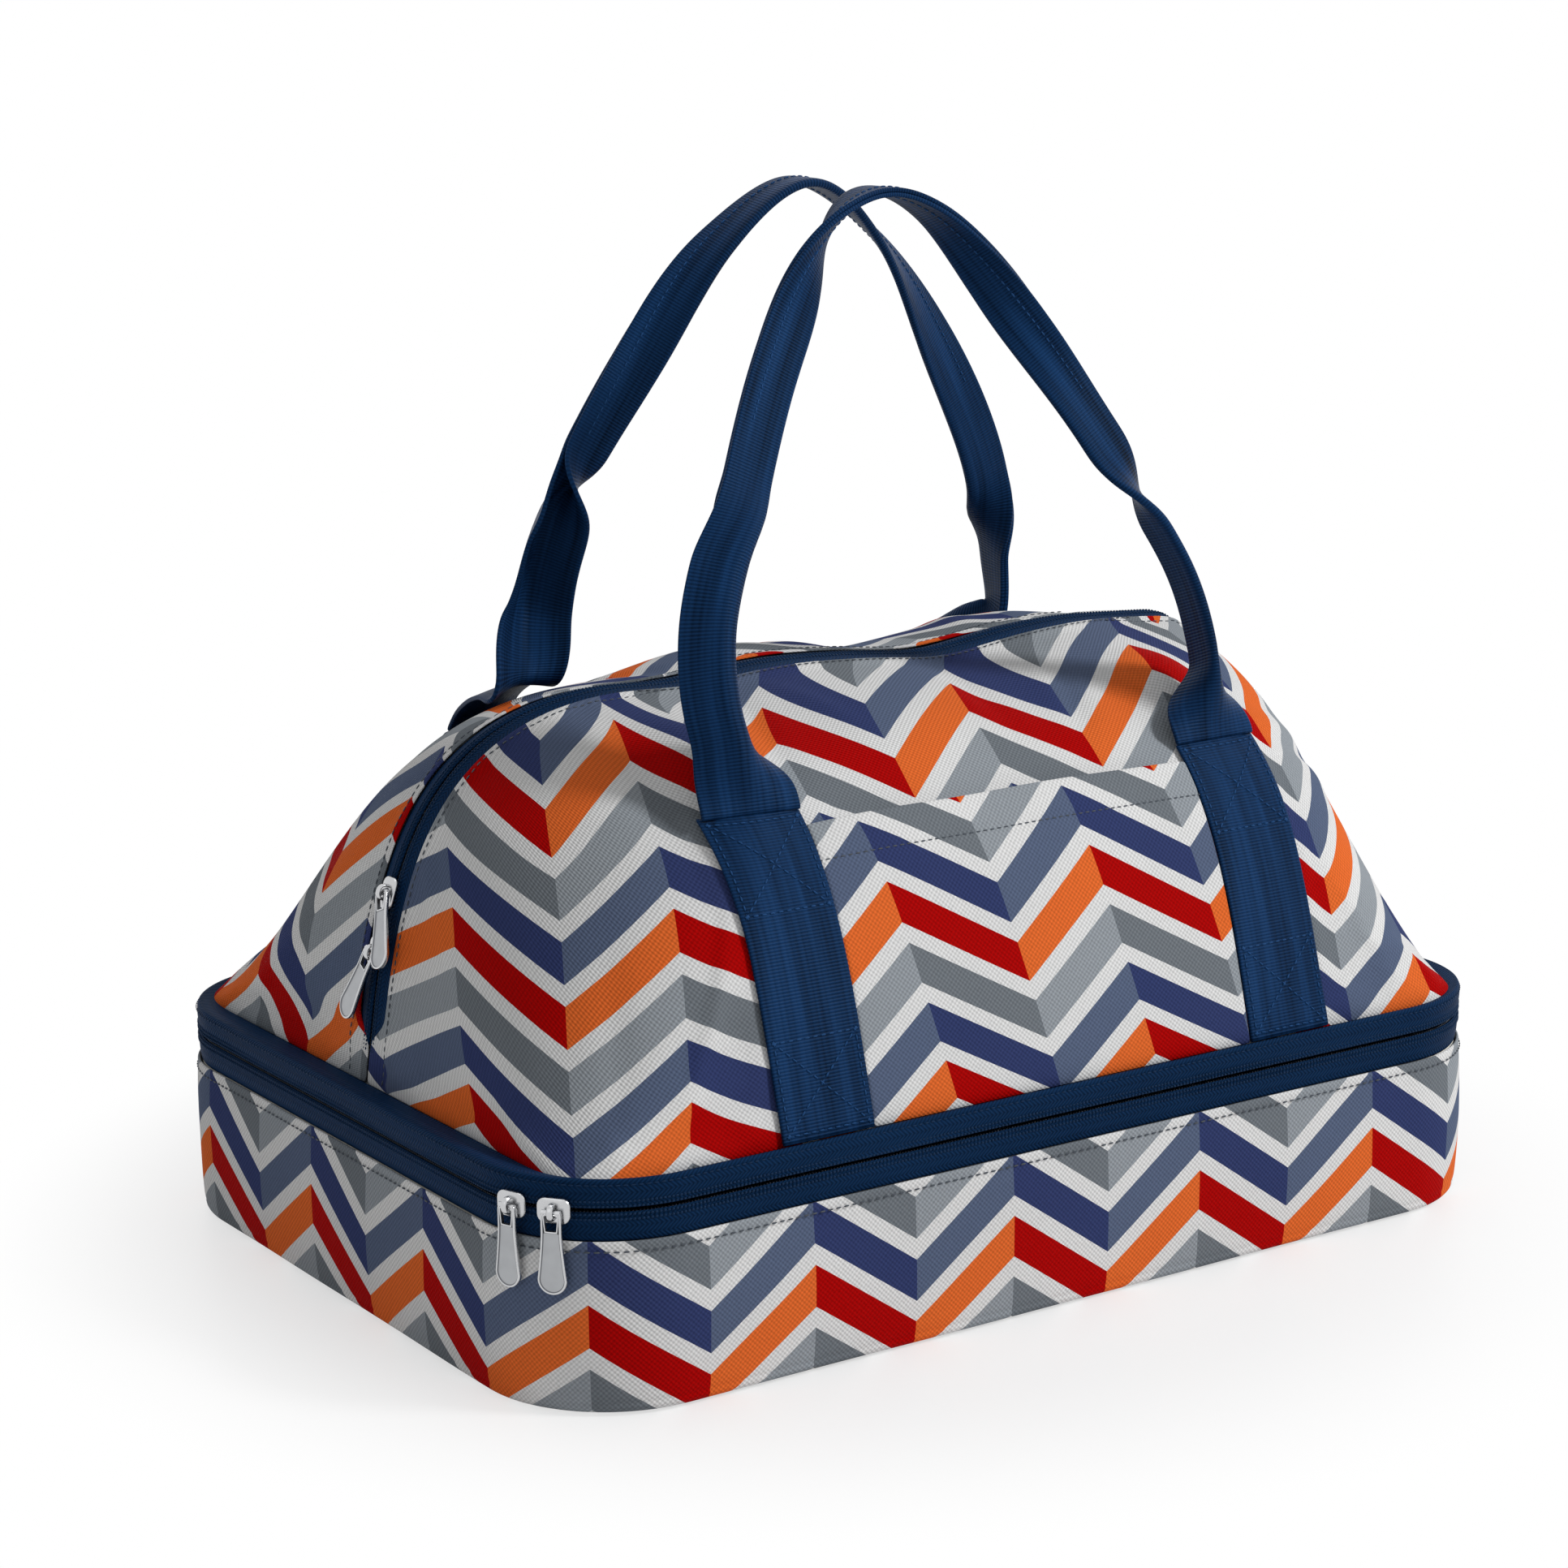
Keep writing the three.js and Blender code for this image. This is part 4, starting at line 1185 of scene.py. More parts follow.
def makeTopZip():
    for side, word, runs in ((-1, "front", ("front", "left_end", "right_end")), (1, "back", ("back",))):
        makeTopTape(side, f"mouth_tape_{word}", [f"top_zip_tape_{run}" for run in runs])
        guide = ridgeGuide(side, *ridge["teethAt"])
        teeth = runAlong(f"mouth_teeth_{word}", [guide], ridge["teeth"], coilNylon)
        fit(teeth, "coil_nylon", *[f"top_zip_coil_{run}" for run in runs])
        hangOn(teeth, side)
        guides = [ridgeGuide(side, *spot) for spot in ridge["rowsAt"]]
        rows = runAlong(f"mouth_thread_rows_{word}", guides, ridge["rows"], tapeThread)
        hangOn(rows, side)


makeTopZip()
report("tote zip")


# straps and the slip pocket

strap = dict(
    width=38.0, spacing=208.0, lift=0.35, thickness=1.7, crown=0.35, top=186.0, low=82.2,
    columns=(-1, -0.97, -0.8, -0.5, -0.2, 0, 0.2, 0.5, 0.8, 0.97, 1),
    boxes=((3.0, 35.0), (79.0, 113.0)), margin=2.4, headroom=1.5, stitchLift=0.12,
    stitch=(3.1, 2.4, 0.75, 0.65),
)
pocket = dict(
    half=85.2, low=81.9, top=181.0, hem=11.0, hemStep=(0.7, 1.5), hemBuild=0.45, lift=0.35, cloth=1.0,
    gape=2.6, gapeRise=55.0, ripple=0.5, ripples=13.0, printPeak=-65.7, printColumn=89.2, printSlant=0.165,
    slantLevel=105.0, printLevel=105.4, printScale=0.94, stitchLift=0.1, stitch=(3.0, 2.2, 0.6, 0.5),
)


def depthAt(level, x):
    # how far the skin stands from the mid-plane at x, on one level of the tote
    reach = np.where(x < 0, level["leftReach"], level["rightReach"])
    end = np.where(x < 0, level["left"], level["right"])
    past = np.clip((np.abs(x) - (end - reach)) / reach, 0, 1)
    return level["b"] - level["r"] + level["r"] * np.sqrt(1 - past ** 2)


def skinPatch(side, xs, heights, lift):
    # a piece of the filled-out skin, lifted off it
    x, z = np.meshgrid(xs, heights)
    grid = settle(np.stack([x, side * depthAt(toteLevel(shareAt(z), side), x), z], -1))
    normal = gridNormals(grid) * -side
    return grid + normal * np.asarray(lift)[..., None], normal


def makeStrap(side, way, name, node):
    middle = way * strap["spacing"] / 2
    across = np.array(strap["columns"]) * strap["width"] / 2
    heights = np.linspace(strap["low"], strap["top"], 64)
    crown = strap["crown"] * (1 - np.linspace(-1, 1, len(across)) ** 2)
    lift = np.broadcast_to(strap["lift"] + strap["thickness"] + crown, (len(heights), len(across)))
    grid, normal = skinPatch(side, middle + across, heights, lift)
    up = lengthsAlong(grid[:, len(across) // 2])
    piece = makeGrid(name, grid, flatPlan(across, up), webbing, flip=side > 0)
    thicken(piece, strap["thickness"], levels=1)
    fit(piece, "navy_webbing", node, body="tote")
    declareSheet(piece)
    return strapStitches(grid, normal, across, up)


def strapStitches(grid, normal, across, up):
    # boxes with a cross in each, as lines on the strap's face; a spot is (across, up) the webbing
    outs = normal[:, len(across) // 2]

    def line(start, end):
        points, outward = [], []
        for place, level in np.linspace(start, end, 14):
            column = np.array([spotsAlong(place, across, row) for row in grid])
            outward.append(spotsAlong(level, up, outs))
            points.append(spotsAlong(level, up, column) + strap["stitchLift"] * outward[-1])
        return np.array(points), np.array(outward)

    edge = strap["width"] / 2 - strap["margin"]
    made = []
    for low, high in strap["boxes"]:
        top = min(high, up[-1] - strap["headroom"])
        corners = [(-edge, low), (edge, low), (edge, top), (-edge, top)]
        runs = ((0, 1), (3, 2), (0, 3), (1, 2), (0, 2), (3, 1))
        made += [line(corners[first], corners[last]) for first, last in runs]
    return made


def makeStraps():
    guides = []
    for side, face in ((-1, "front"), (1, "back")):
        for way, hand in ((-1, "left"), (1, "right")):
            guides += makeStrap(side, way, f"{face}_{hand}_strap", f"strap_{face}_{hand}")
    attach(runAlong("strap_stitches", guides, strap["stitch"], strapThread), "tote")


def makePocket():
    top, hemLine = pocket["top"], pocket["top"] - pocket["hem"]
    xs = np.linspace(-pocket["half"], pocket["half"], 61)
    first, last = [hemLine + step for step in pocket["hemStep"]]    # over these the doubled hem builds up
    heights = np.concatenate([np.linspace(pocket["low"], hemLine, 34), np.linspace(first, top, 10)])
    middle = np.clip(1 - (np.abs(xs) / pocket["half"]) ** 4, 0, 1)
    rise = smooth(top - pocket["gapeRise"], top, heights)
    hem = pocket["hemBuild"] * smooth(hemLine, last, heights)
    lift = pocket["lift"] + pocket["cloth"] + np.outer(rise, middle) * pocket["gape"] + hem[:, None]
    lift = lift + pocket["ripple"] * np.outer(rise ** 2, np.sin(xs / pocket["ripples"]) * middle)
    grid = skinPatch(-1, xs, heights, lift)[0]
    u, v = np.meshgrid(xs, riseAt(shareAt(heights)))
    across = u - pocket["printPeak"] + pocket["printSlant"] * (v - pocket["slantLevel"])
    printed = np.stack([across * (stripe["period"] / mm / pocket["printColumn"]),
                        (v - pocket["printLevel"]) / pocket["printScale"]], -1)
    piece = makeGrid("pocket_cloth", grid, np.stack([u, v], -1), canvas, printed=printed)
    thicken(piece, pocket["cloth"], levels=1)
    fit(piece, "canvas", "slip_pocket", body="tote")
    declareSheet(piece)
    row = int(np.argmin(np.abs(heights - hemLine)))
    out = gridNormals(grid)[row]
    guide = (grid[row] + pocket["stitchLift"] * out, out)
    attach(runAlong("pocket_hem_stitch", [guide], pocket["stitch"], darkThread), "tote")


makeStraps()
makePocket()


seam = dict(away=12.6, lift=0.15, freeColumns=4, stitch=(3.1, 2.3, 0.6, 0.5))


def makeSeamStitch(side, grid, name):
    # one row of stitching a little in from the zip, from the ridge down to the rim at both ends
    normal = gridNormals(grid) * -side
    away = np.abs(grid[..., 1])
    half = grid.shape[1] // 2
    guides = []
    for columns in (slice(0, half), slice(grid.shape[1] - 1, half, -1)):
        rows = [r for r in range(1, grid.shape[0]) if away[r, half] > seam["away"]]
        points, outs = [np.array([spotsAlong(seam["away"], away[r, columns], of[r, columns]) for r in rows])
                        for of in (grid, normal)]
        guides.append((points + seam["lift"] * outs, outs))
    row = int(np.argmin(np.abs(away[:, half] - seam["away"])))
    along = slice(seam["freeColumns"], -seam["freeColumns"])
    guides.append((grid[row, along] + seam["lift"] * normal[row, along], normal[row, along]))
    hangOn(runAlong(name, guides, seam["stitch"], darkThread), side)


makeSeamStitch(-1, frontGrid, "front_seam_stitch")
makeSeamStitch(1, backGrid, "back_seam_stitch")
report("straps, pocket and seams")


# carry handles: webbing that folds over itself to a narrow grip

handle = dict(
    frontStations=[(1, 0, 0), (1, 0.05, 0.05), (1.03, 0.18, 0.17), (1, 0.29, 0.285), (0.88, 0.42, 0.42),
                   (0.56, 0.73, 0.71), (0.2, 0.95, 0.945), (0, 1, 0.985)],
    backStations=[(1.08, 0.62, 0.24), (0.95, 0.77, 0.43), (0.67, 0.88, 0.67), (0.34, 0.95, 0.885),
                  (0, 1, 0.985)],
    restingSpots=[(1, 0), (1, 0.05), (1.03, 0.12), (1.06, 0.18), (1.09, 0.25)],
    start=186.9, frontRise=208.0, backRise=209.0, frontCrown=35.6, backCrown=15.4, clearance=1.6,
    seatLift=1.2, thickness=1.7, steps=170, lift=(0.15, 0.35), leftDraw=(0.07, 0.24, 0.12),
    foldDepth=0.1, foldHeights=(0.1868, 0.2),
    sewnFrom=0.56, stitchLift=0.95, stitchColumn=3, stitch=(3.1, 2.4, 0.7, 0.6),
    columns=(-1, -0.97, -0.85, -0.7, -0.45, -0.22, -0.1, -0.04, 0.04, 0.1, 0.22, 0.45, 0.7, 0.85, 0.97, 1),
)


def catmull(points, count):
    # centripetal spline through the stations, evenly spaced
    p = np.array(points, float)
    p = np.vstack([2 * p[0] - p[1], p, 2 * p[-1] - p[-2]])
    found = []
    for i in range(1, len(p) - 2):
        knots = [0.0]
        for a, b in ((i - 1, i), (i, i + 1), (i + 1, i + 2)):
            knots.append(knots[-1] + max(np.linalg.norm(p[b] - p[a]), 1e-6) ** 0.5)
        t0, t1, t2, t3 = knots
        t = np.linspace(t1, t2, 40)[:, None]
        a1 = (t1 - t) / (t1 - t0) * p[i - 1] + (t - t0) / (t1 - t0) * p[i]
        a2 = (t2 - t) / (t2 - t1) * p[i] + (t - t1) / (t2 - t1) * p[i + 1]
        a3 = (t3 - t) / (t3 - t2) * p[i + 1] + (t - t2) / (t3 - t2) * p[i + 2]
        b1 = (t2 - t) / (t2 - t0) * a1 + (t - t0) / (t2 - t0) * a2
        b2 = (t3 - t) / (t3 - t1) * a2 + (t - t1) / (t3 - t1) * a3
        found.append((t2 - t) / (t2 - t1) * b1 + (t - t1) / (t2 - t1) * b2)
    return evenSpots(np.concatenate(found), count)


def seatDepth(side, x, further):
    # how deep and how high the webbing sits on the skin, a share further up it
    share = float(shareAt(handle["start"] - handle["seatLift"])) + further
    lift = handle["seatLift"] + (handle["clearance"] if further > 0 else 0)
    level = toteLevel(share, side, -lift)
    return float(depthAt(level, x)), level["z"]


def handleLeg(side, way):
    # stations are (share of the half spacing, share of the way in to the crown, share of the rise);
    # the back left leg is drawn in: (how much, at which share of the rise, over how much of it)
    reach = strap["spacing"] / 2
    face = "front" if side < 0 else "back"
    rise, crown = handle[face + "Rise"], handle[face + "Crown"]
    points = []
    if side > 0:
        for across, further in handle["restingSpots"]:
            x = way * across * reach
            depth, z = seatDepth(side, x, further)
            points.append((x, side * depth, z))
    seat = seatDepth(side, way * reach, 0)[0]
    draw, drawnAt, spread = handle["leftDraw"]
    for across, inward, up in handle[face + "Stations"]:
        if side > 0 and way < 0:
            across -= draw * math.exp(-((up - drawnAt) / spread) ** 2)
        depth = seat + (crown - seat) * inward
        points.append((way * across * reach, side * depth, handle["start"] + up * rise))
    return points


def seatSlope(side, way):
    # how the skin turns away across the webbing where the handle starts
    reach, quarter = strap["spacing"] / 2, strap["width"] / 4
    at = [side * seatDepth(side, way * reach + dx, 0)[0] for dx in (quarter, -quarter)]
    return (at[0] - at[1]) / (2 * quarter)


def foldedSection(bend, roll, across):
    # across the webbing: bent along its middle (0 flat, 1 doubled over), then rolled onto its side
    half = strap["width"] / 2
    tight = 1 - 0.9 * bend    # a full fold keeps a tenth of the width for its curve
    fine = np.linspace(-1, 1, 241)
    angle = bend * math.pi / 2 * np.sin(math.pi / 2 * np.clip(fine / tight, -1, 1))
    step = half * (fine[1] - fine[0])
    wide = np.cumsum(np.cos(angle)) * step
    thick = -np.cumsum(np.sin(angle)) * step
    middle = len(fine) // 2
    wide, thick = wide - wide[middle], thick - thick[middle] + half / 2 * bend
    c, s = math.cos(roll), math.sin(roll)
    return np.interp(across, fine, wide * c - thick * s), np.interp(across, fine, wide * s + thick * c)


def handleFrames(side, path, share, fromEnd, legs):
    # the webbing's own directions along the loop: across its width and out of its face
    tangent = np.gradient(path, axis=0)
    tangent /= np.linalg.norm(tangent, axis=1, keepdims=True)
    lifted = smooth(*handle["lift"], fromEnd)
    hand = np.where(share < 0.5, -1.0, 1.0)
    slope = np.array([seatSlope(side, way) for way in hand]) * (1 - lifted)
    flat = np.stack([np.ones(len(path)), slope, np.zeros(len(path))], -1)
    flat -= tangent * (lifted * (flat * tangent).sum(1))[:, None]
    flat /= np.linalg.norm(flat, axis=1, keepdims=True)
    out = np.array([0.0, side, 0.0]) - tangent * (side * tangent[:, 1])[:, None]
    out /= np.linalg.norm(out, axis=1, keepdims=True)
    turn = np.where(share < 0.5, *(smooth(*leg["turn"], fromEnd) for leg in legs)) * math.pi / 2
    wide = out * np.sin(turn)[:, None] + flat * (hand * np.cos(turn))[:, None]
    wide /= np.linalg.norm(wide, axis=1, keepdims=True)
    return wide, np.cross(tangent, wide) * -side


def makeHandle(side, name, node, legs):
    left, right = handleLeg(side, -1), handleLeg(side, 1)
    crown = [(0.0, (left[-1][1] + right[-1][1]) / 2, left[-1][2])]
    path, along = catmull(left[:-1] + crown + right[:-1][::-1], handle["steps"])
    share = np.linspace(0, 1, len(path))
    fromEnd = 2 * np.minimum(share, 1 - share)
    wide, thick = handleFrames(side, path, share, fromEnd, legs)
    across = np.array(handle["columns"])
    bend, roll = np.zeros(len(path)), np.zeros(len(path))
    for leg, mine in ((legs[0], share < 0.5), (legs[1], share >= 0.5)):
        for amount, start, end in leg["bend"]:
            bend += mine * amount * smooth(start, end, fromEnd)
        for degrees, start, end in leg["roll"]:
            roll += mine * math.radians(degrees) * smooth(start, end, fromEnd)
    grid = np.zeros((len(path), len(across), 3))
    for i in range(len(path)):
        w, t = foldedSection(float(bend[i]), float(roll[i]), across)
        grid[i] = path[i] + np.outer(w, wide[i]) + np.outer(t, thick[i])
    piece = makeGrid(name, grid, flatPlan(across * strap["width"] / 2, along), webbing)
    thicken(piece, handle["thickness"], offset=0.0, levels=1)
    fit(piece, "navy_webbing", node)
    declareSheet(piece)
    outer = gridNormals(grid) * side
    sewn, column = fromEnd > handle["sewnFrom"], handle["stitchColumn"]
    guides = [(grid[sewn, k] + handle["stitchLift"] * outer[sewn, k], outer[sewn, k])
              for k in (column, len(across) - 1 - column)]
    stitch = runAlong(name + "_stitch", guides, handle["stitch"], strapThread)
    start, end = [(0, side * handle["foldDepth"], height) for height in handle["foldHeights"]]    # in metres
    for item in (piece, stitch):
        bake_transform(item)


# how each leg doubles over (share, from, to), rolls (degrees, from, to) and turns until its width runs
# front to back (from, to), by the way from seat to crown
frontLegs = [dict(bend=[(0.62, 0.0, 0.11), (0.38, 0.32, 0.48)], roll=[(25, 0.03, 0.13), (65, 0.34, 0.49)],
                  turn=(0.7, 1.0)),
             dict(bend=[(1.0, 0.0, 0.12)], roll=[(12, 0.03, 0.12), (78, 0.33, 0.48)], turn=(0.5, 1.0))]
backLegs = [dict(bend=[(0.6, 0.08, 0.38), (0.4, 0.415, 0.535)], roll=[(90, 0.44, 0.55)], turn=(0.5, 1.0)),
            dict(bend=[(1.0, 0.0, 0.2)], roll=[(90, 0.28, 0.41)], turn=(0.5, 1.0))]
makeHandle(-1, "front_handle_webbing", "front_handle_loop", frontLegs)
makeHandle(1, "back_handle_webbing", "back_handle_loop", backLegs)
report("handles")


# zip sliders and pulls

metal = dict(
    sliderLength=12.0, sliderWidth=9.0, plate=1.6, plateRound=3.0, plateDome=0.25, standOff=0.9,
    bridgeRise=2.9, bridgeBar=1.265, bridgeSpan=6.4, bridgeWidth=2.2, backWidth=4.0, backRound=1.6,
    neck=0.3, neckShare=0.4, sunk=0.3, zipDepthBase=3.0, zipDepthTop=4.24, sharp=40.0,
    pullLength=29.5, topWidth=7.4, endWidth=10.5, thickness=1.6, bar=1.8, windowLength=5.6, windowWidth=5.2,
)
topPulls = dict(upper=(150.0, 24), lower=(129.0, -24))    # slider's height, pull's lean in degrees


def hingeSpot(name):
    return next(np.array(joint["pos_m"]) / mm for joint in frame["joints"] if joint["name"] == name)


def placeMesh(node, parts, at, right, up, out):
    # parts are modelled with x to the right, y up and z outwards
    points, faces, tones = [], [], []
    for verts, quads, *tone in parts:
        start = len(points)
        points.extend(verts)
        faces.extend([tuple(start + i for i in face) for face in quads])
        tones.extend(tone[0] if tone else [0] * len(quads))
    basis = np.stack([right, up, out])
    piece = makePiece(node + "_metal", np.asarray(points, float) @ basis + at, faces, zincSilver)
    # materials 1 and 2 are the zinc with painted shade, picked per face by tone
    piece.data.materials.append(zincFacePaintedShade)
    piece.data.materials.append(zincPaintedShade)
    piece.data.polygons.foreach_set("material_index", tones)
    piece.data.set_sharp_from_angle(angle=math.radians(metal["sharp"]))
    fit(piece, "zinc_silver", node, body=node)


def ringLoft(loops, closed=True):
    # a skin from each loop to the next, with an end at both sides where it is closed
    count = len(loops[0])
    verts = [tuple(p) for loop in loops for p in loop]
    faces = []
    for r in range(len(loops) - 1):
        for c in range(count):
            n = (c + 1) % count
            faces.append((r * count + c, r * count + n, (r + 1) * count + n, (r + 1) * count + c))
    if closed:
        last = (len(loops) - 1) * count
        faces.append(tuple(range(count))[::-1])
        faces.append(tuple(last + c for c in range(count)))
    return verts, faces


def flatLoop(loop, z):
    return np.column_stack([loop, np.full(len(loop), z)])


def roundedPlan(halfLong, halfWide, radius, steps=5):
    loop = []
    for quarter, (cx, cy) in enumerate(((1, 1), (-1, 1), (-1, -1), (1, -1))):
        for step in range(steps + 1):
            angle = (quarter + step / steps) * math.pi / 2
            loop.append((cx * (halfLong - radius) + radius * math.cos(angle),
                         cy * (halfWide - radius) + radius * math.sin(angle)))
    return np.array(loop)


def domedPlate(halfLong, halfWide, radius, low, high, dome):
    # rings are (share of the plan, height), from the underside round the edge to the middle of the top
    plan = roundedPlan(halfLong, halfWide, radius)
    rings = [(0.9, low), (1.0, low + 0.35), (1.0, high - 0.6), (0.96, high - 0.2), (0.86, high),
             (0.6, high + dome * 0.7), (0.3, high + dome), (0.1, high + dome)]
    return ringLoft([flatLoop(plan * scale, z) for scale, z in rings])


def archLoop(span, rise, low, width, bar, alongZip):
    # a rounded strap of metal over the plate that the pull hangs on
    loops = []
    for t in np.linspace(0, 1, 17):
        angle = math.pi * t
        across = -(span / 2 - bar / 2) * math.cos(angle)
        high = low + (rise + bar / 2) * math.sin(angle) ** 0.6
        tangent = np.array([math.sin(angle) ** 0.8 + 0.05, math.cos(angle)])
        tangent /= np.linalg.norm(tangent)
        section = []
        for k in range(8):
            a = 2 * math.pi * k / 8
            w, h = width / 2 * math.cos(a), bar / 2 * math.sin(a)
            y, z = across - tangent[1] * h, high + tangent[0] * h
            section.append((y, w, z) if alongZip else (w, y, z))
        loops.append(np.array(section))
    if alongZip:
        loops = loops[::-1]
    return ringLoft(loops)


def boxPart(low, high):
    plan = np.array([(low[0], low[1]), (high[0], low[1]), (high[0], high[1]), (low[0], high[1])])
    return ringLoft([flatLoop(plan, z) for z in (low[2], high[2])])


def sliderParts(alongZip, zipDepth):
    # a plate on each side of the zip, the neck between them and the bridge that the pull hangs on
    halfLong, halfWide = metal["sliderLength"] / 2, metal["sliderWidth"] / 2
    low = metal["standOff"]
    top = low + metal["plate"]
    backTop = -zipDepth - metal["standOff"]
    neckLong, neckWide = halfLong * metal["neckShare"], metal["neck"] / 2
    dome, sunk = metal["plateDome"], metal["sunk"]
    return [
        domedPlate(halfLong, halfWide, metal["plateRound"], low, top - dome, dome),
        domedPlate(halfLong, metal["backWidth"] / 2, metal["backRound"], backTop - metal["plate"], backTop,
                   dome=0.0),
        boxPart((-neckLong, -neckWide, backTop - 0.1), (neckLong, neckWide, low + sunk)),
        archLoop(metal["bridgeSpan"], metal["bridgeRise"], top - sunk, metal["bridgeWidth"],
                 metal["bridgeBar"], alongZip),
    ]


def pullOutline(inset, steps=14):
    # half widths down the tab from the bar to the round end, as a closed loop seen from the front
    endRadius = metal["endWidth"] / 2
    endCentre = metal["bar"] / 2 - metal["pullLength"] + endRadius
    topHalf = metal["topWidth"] / 2
    shoulder = -metal["windowLength"] - metal["bar"]
    right = [(topHalf - 1.1 - inset * 0.6, 0.7 - inset), (topHalf - 0.3 - inset, 0.1 - inset),
             (topHalf - inset, -1.2)]
    right += [(topHalf - inset + (endRadius - topHalf) * t ** 1.4, shoulder + (endCentre - shoulder) * t)
              for t in np.linspace(0, 1, 8)]
    arc = [((endRadius - inset) * math.cos(a), endCentre + (endRadius - inset) * math.sin(a))
           for a in np.linspace(0, -math.pi, 2 * steps + 1)[1:-1]]
    left = [(-x, y) for x, y in right[::-1]]
    return np.array(right + arc + left)


def windowOutline(grow, count=400):
    # the window's edge as a loop of evenly spaced points
    half, high = metal["windowWidth"] / 2 + grow, grow - metal["bar"] / 2
    low = -metal["bar"] / 2 - metal["windowLength"] - grow
    corners = [(half - 0.6, high), (half, high - 0.6), (half, low + 0.8), (half - 0.8, low),
               (-half + 0.8, low), (-half, low + 0.8), (-half, high - 0.6), (-half + 0.6, high)]
    closed = np.array(corners + corners[:1])
    walk = lengthsAlong(closed)
    return spotsAlong(np.linspace(0, walk[-1], count, endpoint=False), walk, closed)


def matchedWindow(outlineLoop, grow):
    # window points in the directions of the outline's points, so that the faces between don't twist
    loop = windowOutline(grow)
    middle = np.array([0.0, -metal["bar"] / 2 - metal["windowLength"] / 2])
    want = np.arctan2(*(outlineLoop - middle).T[::-1])
    have = np.arctan2(*(loop - middle).T[::-1])
    picks = [int(np.argmin(np.abs(np.angle(np.exp(1j * (have - w)))))) for w in want]
    return loop[picks]


def pullParts():
    # a tab with a raised rim round a sunk face, the window through it and the bar it hangs by;
    # rings are (how far in, or out from the window, height, tone: 0 plain zinc, 1 the sunk face in darker
    # zinc as painted shade, 2 painted shade in the grooves and down the window's wall)
    half = metal["thickness"] / 2
    tab = [(0.5, 0.45 - half, 0), (0.15, 0.1 - half, 0), (0.0, 0.4 - half, 0), (0.0, half - 0.4, 0),
           (0.15, half - 0.1, 0), (0.4, half, 0), (0.75, half, 0), (0.95, half - 0.12, 2),
           (1.05, half - 0.32, 2)]
    window = [(0.62, half - 0.32, 1), (0.5, half - 0.1, 2), (0.35, half, 0), (0.0, half - 0.1, 0),
              (0.0, 0.1 - half, 2), (0.4, -half, 0)]
    inmost = pullOutline(tab[-1][0])
    loops = [flatLoop(pullOutline(inset), z) for inset, z, tone in tab]
    loops += [flatLoop(matchedWindow(inmost, grow), z) for grow, z, tone in window]
    loops.append(loops[0])
    verts, faces = ringLoft([loop[::-1] for loop in loops], closed=False)
    tones = [tone for spot, z, tone in tab + window][1:] + [0]
    shades = [tone for tone in tones for step in range(len(inmost))]
    radius = metal["bar"] / 2
    turns = np.linspace(0, 2 * math.pi, 12, endpoint=False)
    ends = np.linspace(-metal["topWidth"] / 2 + 0.4, metal["topWidth"] / 2 - 0.4, 3)
    bar = [np.array([(x, radius * math.cos(a), radius * math.sin(a)) for a in turns]) for x in ends]
    return [(verts, faces, shades), ringLoft(bar)]


def endTangent(height):
    # the way the zip climbs the left end
    reach = metal["sliderLength"] / 2
    heights = (height - reach, height + reach)
    low, high = [np.array([-endOf(shareAt(z), tote["leftCrown"]), 0, z]) for z in heights]
    return (high - low) / np.linalg.norm(high - low)


def makePair(zipName, word, parts, sliderAxes, pullAxes, out):
    # a slider, and the pull on its bridge
    hung = hingeSpot(f"{zipName}_pull_{word}_swing")
    seat = hung - out * (metal["standOff"] + metal["plate"] + metal["bridgeRise"] / 2)
    placeMesh(f"{zipName}_slider_{word}", parts, seat, *sliderAxes, out)
    placeMesh(f"{zipName}_pull_{word}", pullParts(), hung, *pullAxes, out)


def makeMetal():
    up = np.array([0.0, 0.0, 1.0])
    for word in ("left", "front"):
        hung = hingeSpot(f"base_pull_{word}_swing")
        out = hung - np.array([-base["flatLong"], -base["flatDeep"] / 2, hung[2]])
        out /= np.linalg.norm(out)
        axes = (np.cross(up, out), up)
        makePair("base", word, sliderParts(False, metal["zipDepthBase"]), axes, axes, out)
    across = np.array([0.0, -1.0, 0.0])
    for word, (height, lean) in topPulls.items():
        up = endTangent(height)
        out = np.cross(across, up)
        turn = np.array(Matrix.Rotation(math.radians(lean), 3, Vector(out)))
        makePair("top", word, sliderParts(True, metal["zipDepthTop"]), (up, -across),
                 (turn @ across, turn @ up), out)


makeMetal()
report("sliders and pulls")


# floor, light and camera

studio = dict(
    focal=85.58, shift=(-0.02857, 0.02324), yaw=-34.28, pitch=13.45, roll=-0.514, distance=1.438,
    target=(0, 0, 0.15), sensor=36.0, worldLight=0.34, floorTone=(0.9, 0.9, 0.9, 1), floorRoughness=0.4,
    floorSpan=6000.0, floorNear=(0.2, 0.34), nearWhite=0.6, farClip=50.0,
)
lamps = dict(
    key_light=dict(place=(1.2, -1.5, 1.75), target=(0, 0, 0.12), size=0.5, power=39.0),
    fill_light=dict(place=(-1.6, -0.6, 1.0), target=(0, 0, 0.15), size=1.4, power=1.5),
    top_light=dict(place=(0.1, 0.3, 1.9), target=(0, 0, 0.1), size=1.2, power=3.0),
)


def seenDirectly(tree):
    # 1 for what the camera sees, in a mirror or through glass too, and 0 for light on its way
    ray = addNode(tree, "ShaderNodeLightPath")
    seen = calc(tree, "MAXIMUM", ray.outputs["Is Camera Ray"], ray.outputs["Is Glossy Ray"])
    return calc(tree, "MAXIMUM", seen, ray.outputs["Is Transmission Ray"])


